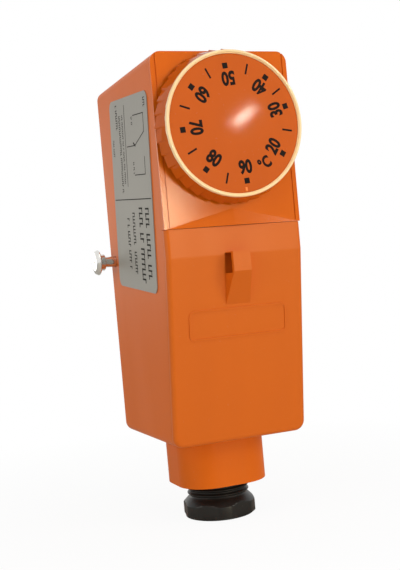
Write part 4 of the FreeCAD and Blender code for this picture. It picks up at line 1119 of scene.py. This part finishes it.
    def _figure(self, shape: Shape, words: str, far: float, degrees: float, tall: float) -> None:
        """Adds a printed figure that reads upright when it is at the foot of the dial.

        Args:
            shape: Shape to add to.
            words: The figure.
            far: Distance of its middle from the dial's middle.
            degrees: Angle round the dial.
            tall: Height of the capitals.
        """
        curve = bpy.data.curves.new("figure", "FONT")
        curve.body = words
        curve.align_x = "CENTER"
        curve.size = 1.0
        curve.offset = self.figure_bold
        curve.resolution_u = 4
        holder = bpy.data.objects.new("figure", curve)
        bpy.context.scene.collection.objects.link(holder)
        bpy.context.view_layer.update()
        mesh = bpy.data.meshes.new_from_object(holder)
        bpy.data.objects.remove(holder)
        bpy.data.curves.remove(curve)
        before = set(shape.verts)
        shape.from_mesh(mesh)
        bpy.data.meshes.remove(mesh)
        made = [corner for corner in shape.verts if corner not in before]
        across = [corner.co.x for corner in made]
        upward = [corner.co.y for corner in made]
        grow = tall * MM / (max(upward) - min(upward))
        middle = ((min(across) + max(across)) / 2, (min(upward) + max(upward)) / 2)
        turn = math.radians(degrees)
        spot = Vector((far * math.cos(turn), far * math.sin(turn), self.dial + self.print_rise))
        bmesh.ops.translate(shape, verts=made, vec=(-middle[0], -middle[1], 0.0))
        bmesh.ops.scale(shape, verts=made, vec=(grow * self.figure_narrow, grow, 1.0))
        turn_round(shape, made, turn + QUARTER_TURN, "Z")
        bmesh.ops.translate(shape, verts=made, vec=spot * MM)
        thicken(shape, made, self.print_thick)


@dataclass
class CableGland:
    """Black compression screw with a cut thread, a cone and a worn hexagon, in millimetres."""

    ahead: float = 23.9
    head_foot: float = -78.0
    hex_top: float = -74.0
    neck_foot: float = -71.7
    thread_top: float = -64.0
    bore: float = 5.0
    bore_edge: float = 0.3
    shank: float = 9.15
    head: float = 10.84
    head_edge: float = 0.05
    flats: float = 20.4
    chamfer: float = 0.7
    turn: float = 12.0
    cone_steps: int = 8
    pitch: float = 1.411
    thread_deep: float = 0.55
    thread_form: tuple = ((0.0, 1), (0.12, 1), (0.45, 0), (0.6, 0), (0.95, 1))
    steps: int = 144

    def build(self, wardrobe: Wardrobe) -> None:
        """Builds and dresses the gland screw.

        Args:
            wardrobe: Store of materials.
        """
        shape = lathe(self._profile(), self.steps)
        self._press_flats(shape)
        shift_by(shape, shape.verts, 0.0, -self.ahead, 0.0)
        screw = finished("gland_body", shape, smooth=20.0)
        wardrobe.dress(screw, BLACK_GLAND)
        settle(screw, Body.GLAND, "gland", "gland_screw")

    def _profile(self) -> Profile:
        """Lists the corners of the turned section.

        Returns:
            Its corners, from the bore round the head and up the thread.
        """
        foot = self.head_foot
        rim = self.head - self.head_edge
        corners = [
            (self.bore, foot + self.bore_edge),
            (self.bore + self.bore_edge, foot),
            (self.head - self.chamfer - 0.5, foot),
            (self.head - self.chamfer, foot + 0.15),
            (self.head, foot + self.chamfer),
            (self.head, foot + self.chamfer + 1.2),
            (self.head, self.hex_top - 0.4),
            (rim, self.hex_top),
        ]
        cone_in = self.shank - 0.35 - self.head
        cone_up = self.neck_foot - 0.25 - self.hex_top
        for step in range(1, self.cone_steps + 1):
            share = step / self.cone_steps
            corners.append((rim + cone_in * share, self.hex_top + cone_up * share))
        high = self.neck_foot
        while high + self.pitch < self.thread_top:
            for share, root in self.thread_form:
                corners.append((self.shank - root * self.thread_deep, high + share * self.pitch))
            high += self.pitch
        corners.append((self.shank - self.thread_deep, self.thread_top))
        corners.append((self.bore, self.thread_top))
        return corners

    def _press_flats(self, shape: Shape) -> None:
        """Pulls every corner of the head in to the flats of the hexagon.

        Args:
            shape: Upright turned shape, in metres.
        """
        sixth = math.tau / 6
        for corner in shape.verts:
            far = corner.co.xy.length
            angle = math.atan2(corner.co.y, corner.co.x) + QUARTER_TURN + math.radians(self.turn)
            off = (angle + sixth / 2) % sixth - sixth / 2
            flat = self.flats / 2 * MM / math.cos(abs(abs(off) - sixth / 2))
            if far > flat:
                corner.co.xy *= flat / far


@dataclass
class StrapStud:
    """Bright turned stud with a collar and a wide head that holds the strap, in millimetres."""

    side: str
    sign: int
    ahead: float = 5.5
    start: float = 16.75
    stem: float = 1.6
    collar: float = 2.5
    collar_from: float = 23.6
    collar_edge: float = 0.12
    head_from: float = 25.3
    head: float = 3.9
    head_edge: float = 0.2
    end: float = 26.65
    steps: int = 96

    def build(self, wardrobe: Wardrobe) -> None:
        """Builds and dresses the stud.

        Args:
            wardrobe: Store of materials.
        """
        shape = lathe(self._profile(), self.steps)
        turn_round(shape, shape.verts, self.sign * QUARTER_TURN, "Y")
        shift_by(shape, shape.verts, 0.0, -self.ahead, 0.0)
        node = "strap_stud_" + self.side
        stud = finished(node + "_body", shape, smooth=30.0)
        wardrobe.dress(stud, BRIGHT_STUD)
        settle(stud, Body.CASE, "stud", node)

    def _profile(self) -> Profile:
        """Lists the corners of the stud's section.

        Returns:
            Its corners, from the wall outwards.
        """
        edge = self.head_edge
        corners = [
            (0.0, self.start),
            (self.stem, self.start),
            (self.stem, self.collar_from - 0.25),
            (self.stem + 0.25, self.collar_from),
            (self.collar - self.collar_edge, self.collar_from),
            (self.collar, self.collar_from + self.collar_edge),
            (self.collar, self.head_from - 0.3),
            (self.collar - 0.2, self.head_from),
            (self.head - edge, self.head_from),
        ]
        arc = 4
        for step in range(arc + 1):
            turn = QUARTER_TURN * step / arc - math.pi / 4
            far = self.head - edge + edge * 0.7 * math.cos(turn)
            corners.append((far, self.head_from + 0.1 + 0.35 * step / arc))
        corners += [
            (self.head - 0.45, self.end - 0.25),
            (self.head - 0.9, self.end - 0.05),
            (self.head - 1.5, self.end),
            (0.5, self.end),
            (0.3, self.end - 0.12),
            (0.0, self.end - 0.15),
        ]
        return corners


@dataclass
class RatingLabel:
    """Print on the grey film: a divider, a plain wiring sketch and rows of unreadable strokes.

    Sizes are in millimetres and degrees. Each line has its two ends as shares of the film, and its
    breadth. Each row has its place across, its start and end, its height and a seed.
    """

    face: float = -20.25
    ahead: float = 29.0
    up: float = 18.3
    wide: float = 34.5
    high: float = 55.0
    turn: float = 5.5
    thick: float = 0.02
    stroke_broad: float = 0.19
    stroke_step: float = 0.55
    stroke_end: float = 0.9
    least_room: float = 0.6
    gap_chance: float = 0.14
    lines: tuple = (
        ((0.03, 0.53, 0.98, 0.527), 0.28),
        ((0.411, 0.04, 0.411, 0.46), 0.22),
        ((0.64, 0.104, 0.897, 0.104), 0.25),
        ((0.896, 0.104, 0.896, 0.195), 0.25),
        ((0.896, 0.195, 0.652, 0.257), 0.25),
        ((0.447, 0.256, 0.652, 0.256), 0.25),
        ((0.62, 0.243, 0.66, 0.257), 0.5),
        ((0.88, 0.319, 0.88, 0.405), 0.25),
        ((0.88, 0.405, 0.617, 0.405), 0.25),
    )
    rows: tuple = (
        (0.93, 0.02, 0.08, 1.2, 1),
        (0.19, 0.03, 0.16, 1.3, 2),
        (0.27, 0.09, 0.50, 1.1, 3),
        (0.345, 0.09, 0.46, 0.9, 4),
        (0.075, 0.21, 0.30, 0.9, 5),
        (0.60, 0.11, 0.16, 0.9, 6),
        (0.60, 0.34, 0.40, 0.9, 7),
        (0.36, 0.63, 0.90, 1.7, 8),
        (0.51, 0.60, 0.93, 1.7, 9),
        (0.70, 0.575, 0.955, 2.6, 10),
        (0.86, 0.577, 0.953, 2.6, 11),
    )

    def build(self, wardrobe: Wardrobe) -> None:
        """Builds and dresses the print.

        Args:
            wardrobe: Store of materials.
        """
        shape = bmesh.new()
        for ends, broad in self.lines:
            self._stroke(shape, ends, broad)
        for row in self.rows:
            self._row(shape, *row)
        turn_round(shape, shape.verts, math.radians(self.turn), "X")
        shift_by(shape, shape.verts, self.face, -self.ahead, self.up)
        print_piece = finished("label_print", shape, smooth=20.0)
        wardrobe.dress(print_piece, LABEL_INK)
        settle(print_piece, Body.CASE, "label")

    def _spot(self, across: float, down: float) -> Vector:
        """Place in metres of a point of the film, by its shares from the rear and top edges."""
        return Vector((0.0, (0.5 - across) * self.wide, (0.5 - down) * self.high)) * MM

    def _stroke(self, shape: Shape, ends: tuple[float, float, float, float], broad: float) -> None:
        """Adds one printed line.

        Args:
            shape: Shape to add to.
            ends: Shares of the first and the second end.
            broad: Breadth in millimetres.
        """
        first = self._spot(ends[0], ends[1])
        second = self._spot(ends[2], ends[3])
        along = second - first
        made = bmesh.ops.create_grid(shape, x_segments=1, y_segments=1, size=0.5)["verts"]
        bmesh.ops.scale(shape, verts=made, vec=(along.length + broad * MM, broad * MM, 1.0))
        turn_round(shape, made, QUARTER_TURN, "X")
        turn_round(shape, made, QUARTER_TURN, "Z")
        turn_round(shape, made, math.atan2(along.z, along.y), "X")
        middle = (first + second) / 2 - Vector((self.thick * MM, 0.0, 0.0))
        bmesh.ops.translate(shape, verts=made, vec=middle)
        thicken(shape, made, self.thick)

    def _row(
        self, shape: Shape, across: float, top: float, foot: float, tall: float, seed: int
    ) -> None:
        """Adds a row of small strokes that reads as print from afar and as nothing close by.

        Args:
            shape: Shape to add to.
            across: Share of the row's middle from the rear edge.
            top: Share at which the row starts.
            foot: Share at which it ends.
            tall: Height of the strokes in millimetres.
            seed: Seed of the uneven gaps.
        """
        chance = random.Random(seed)
        half = tall / 2 / self.wide
        step = tall * self.stroke_step / self.high
        broad = tall * self.stroke_broad
        at = top
        while at + step * self.least_room < foot:
            if chance.random() > self.gap_chance:
                side = across + chance.choice((-half, half)) * self.stroke_end
                self._stroke(shape, (across - half, at, across + half, at), broad)
                self._stroke(shape, (side, at, side, at + step * self.stroke_step), broad)
            at += step


def main() -> None:
    """Builds the studio and every piece, and logs the face count of each new piece."""
    logging.basicConfig(level=logging.INFO, format="%(message)s")
    Studio().build()
    wardrobe = Wardrobe()
    wardrobe.dress_solids()
    SettingKnob().build(wardrobe)
    CableGland().build(wardrobe)
    for side, sign in (("left", -1), ("right", 1)):
        StrapStud(side, sign).build(wardrobe)
    RatingLabel().build(wardrobe)


if __name__ == "__main__":
    main()
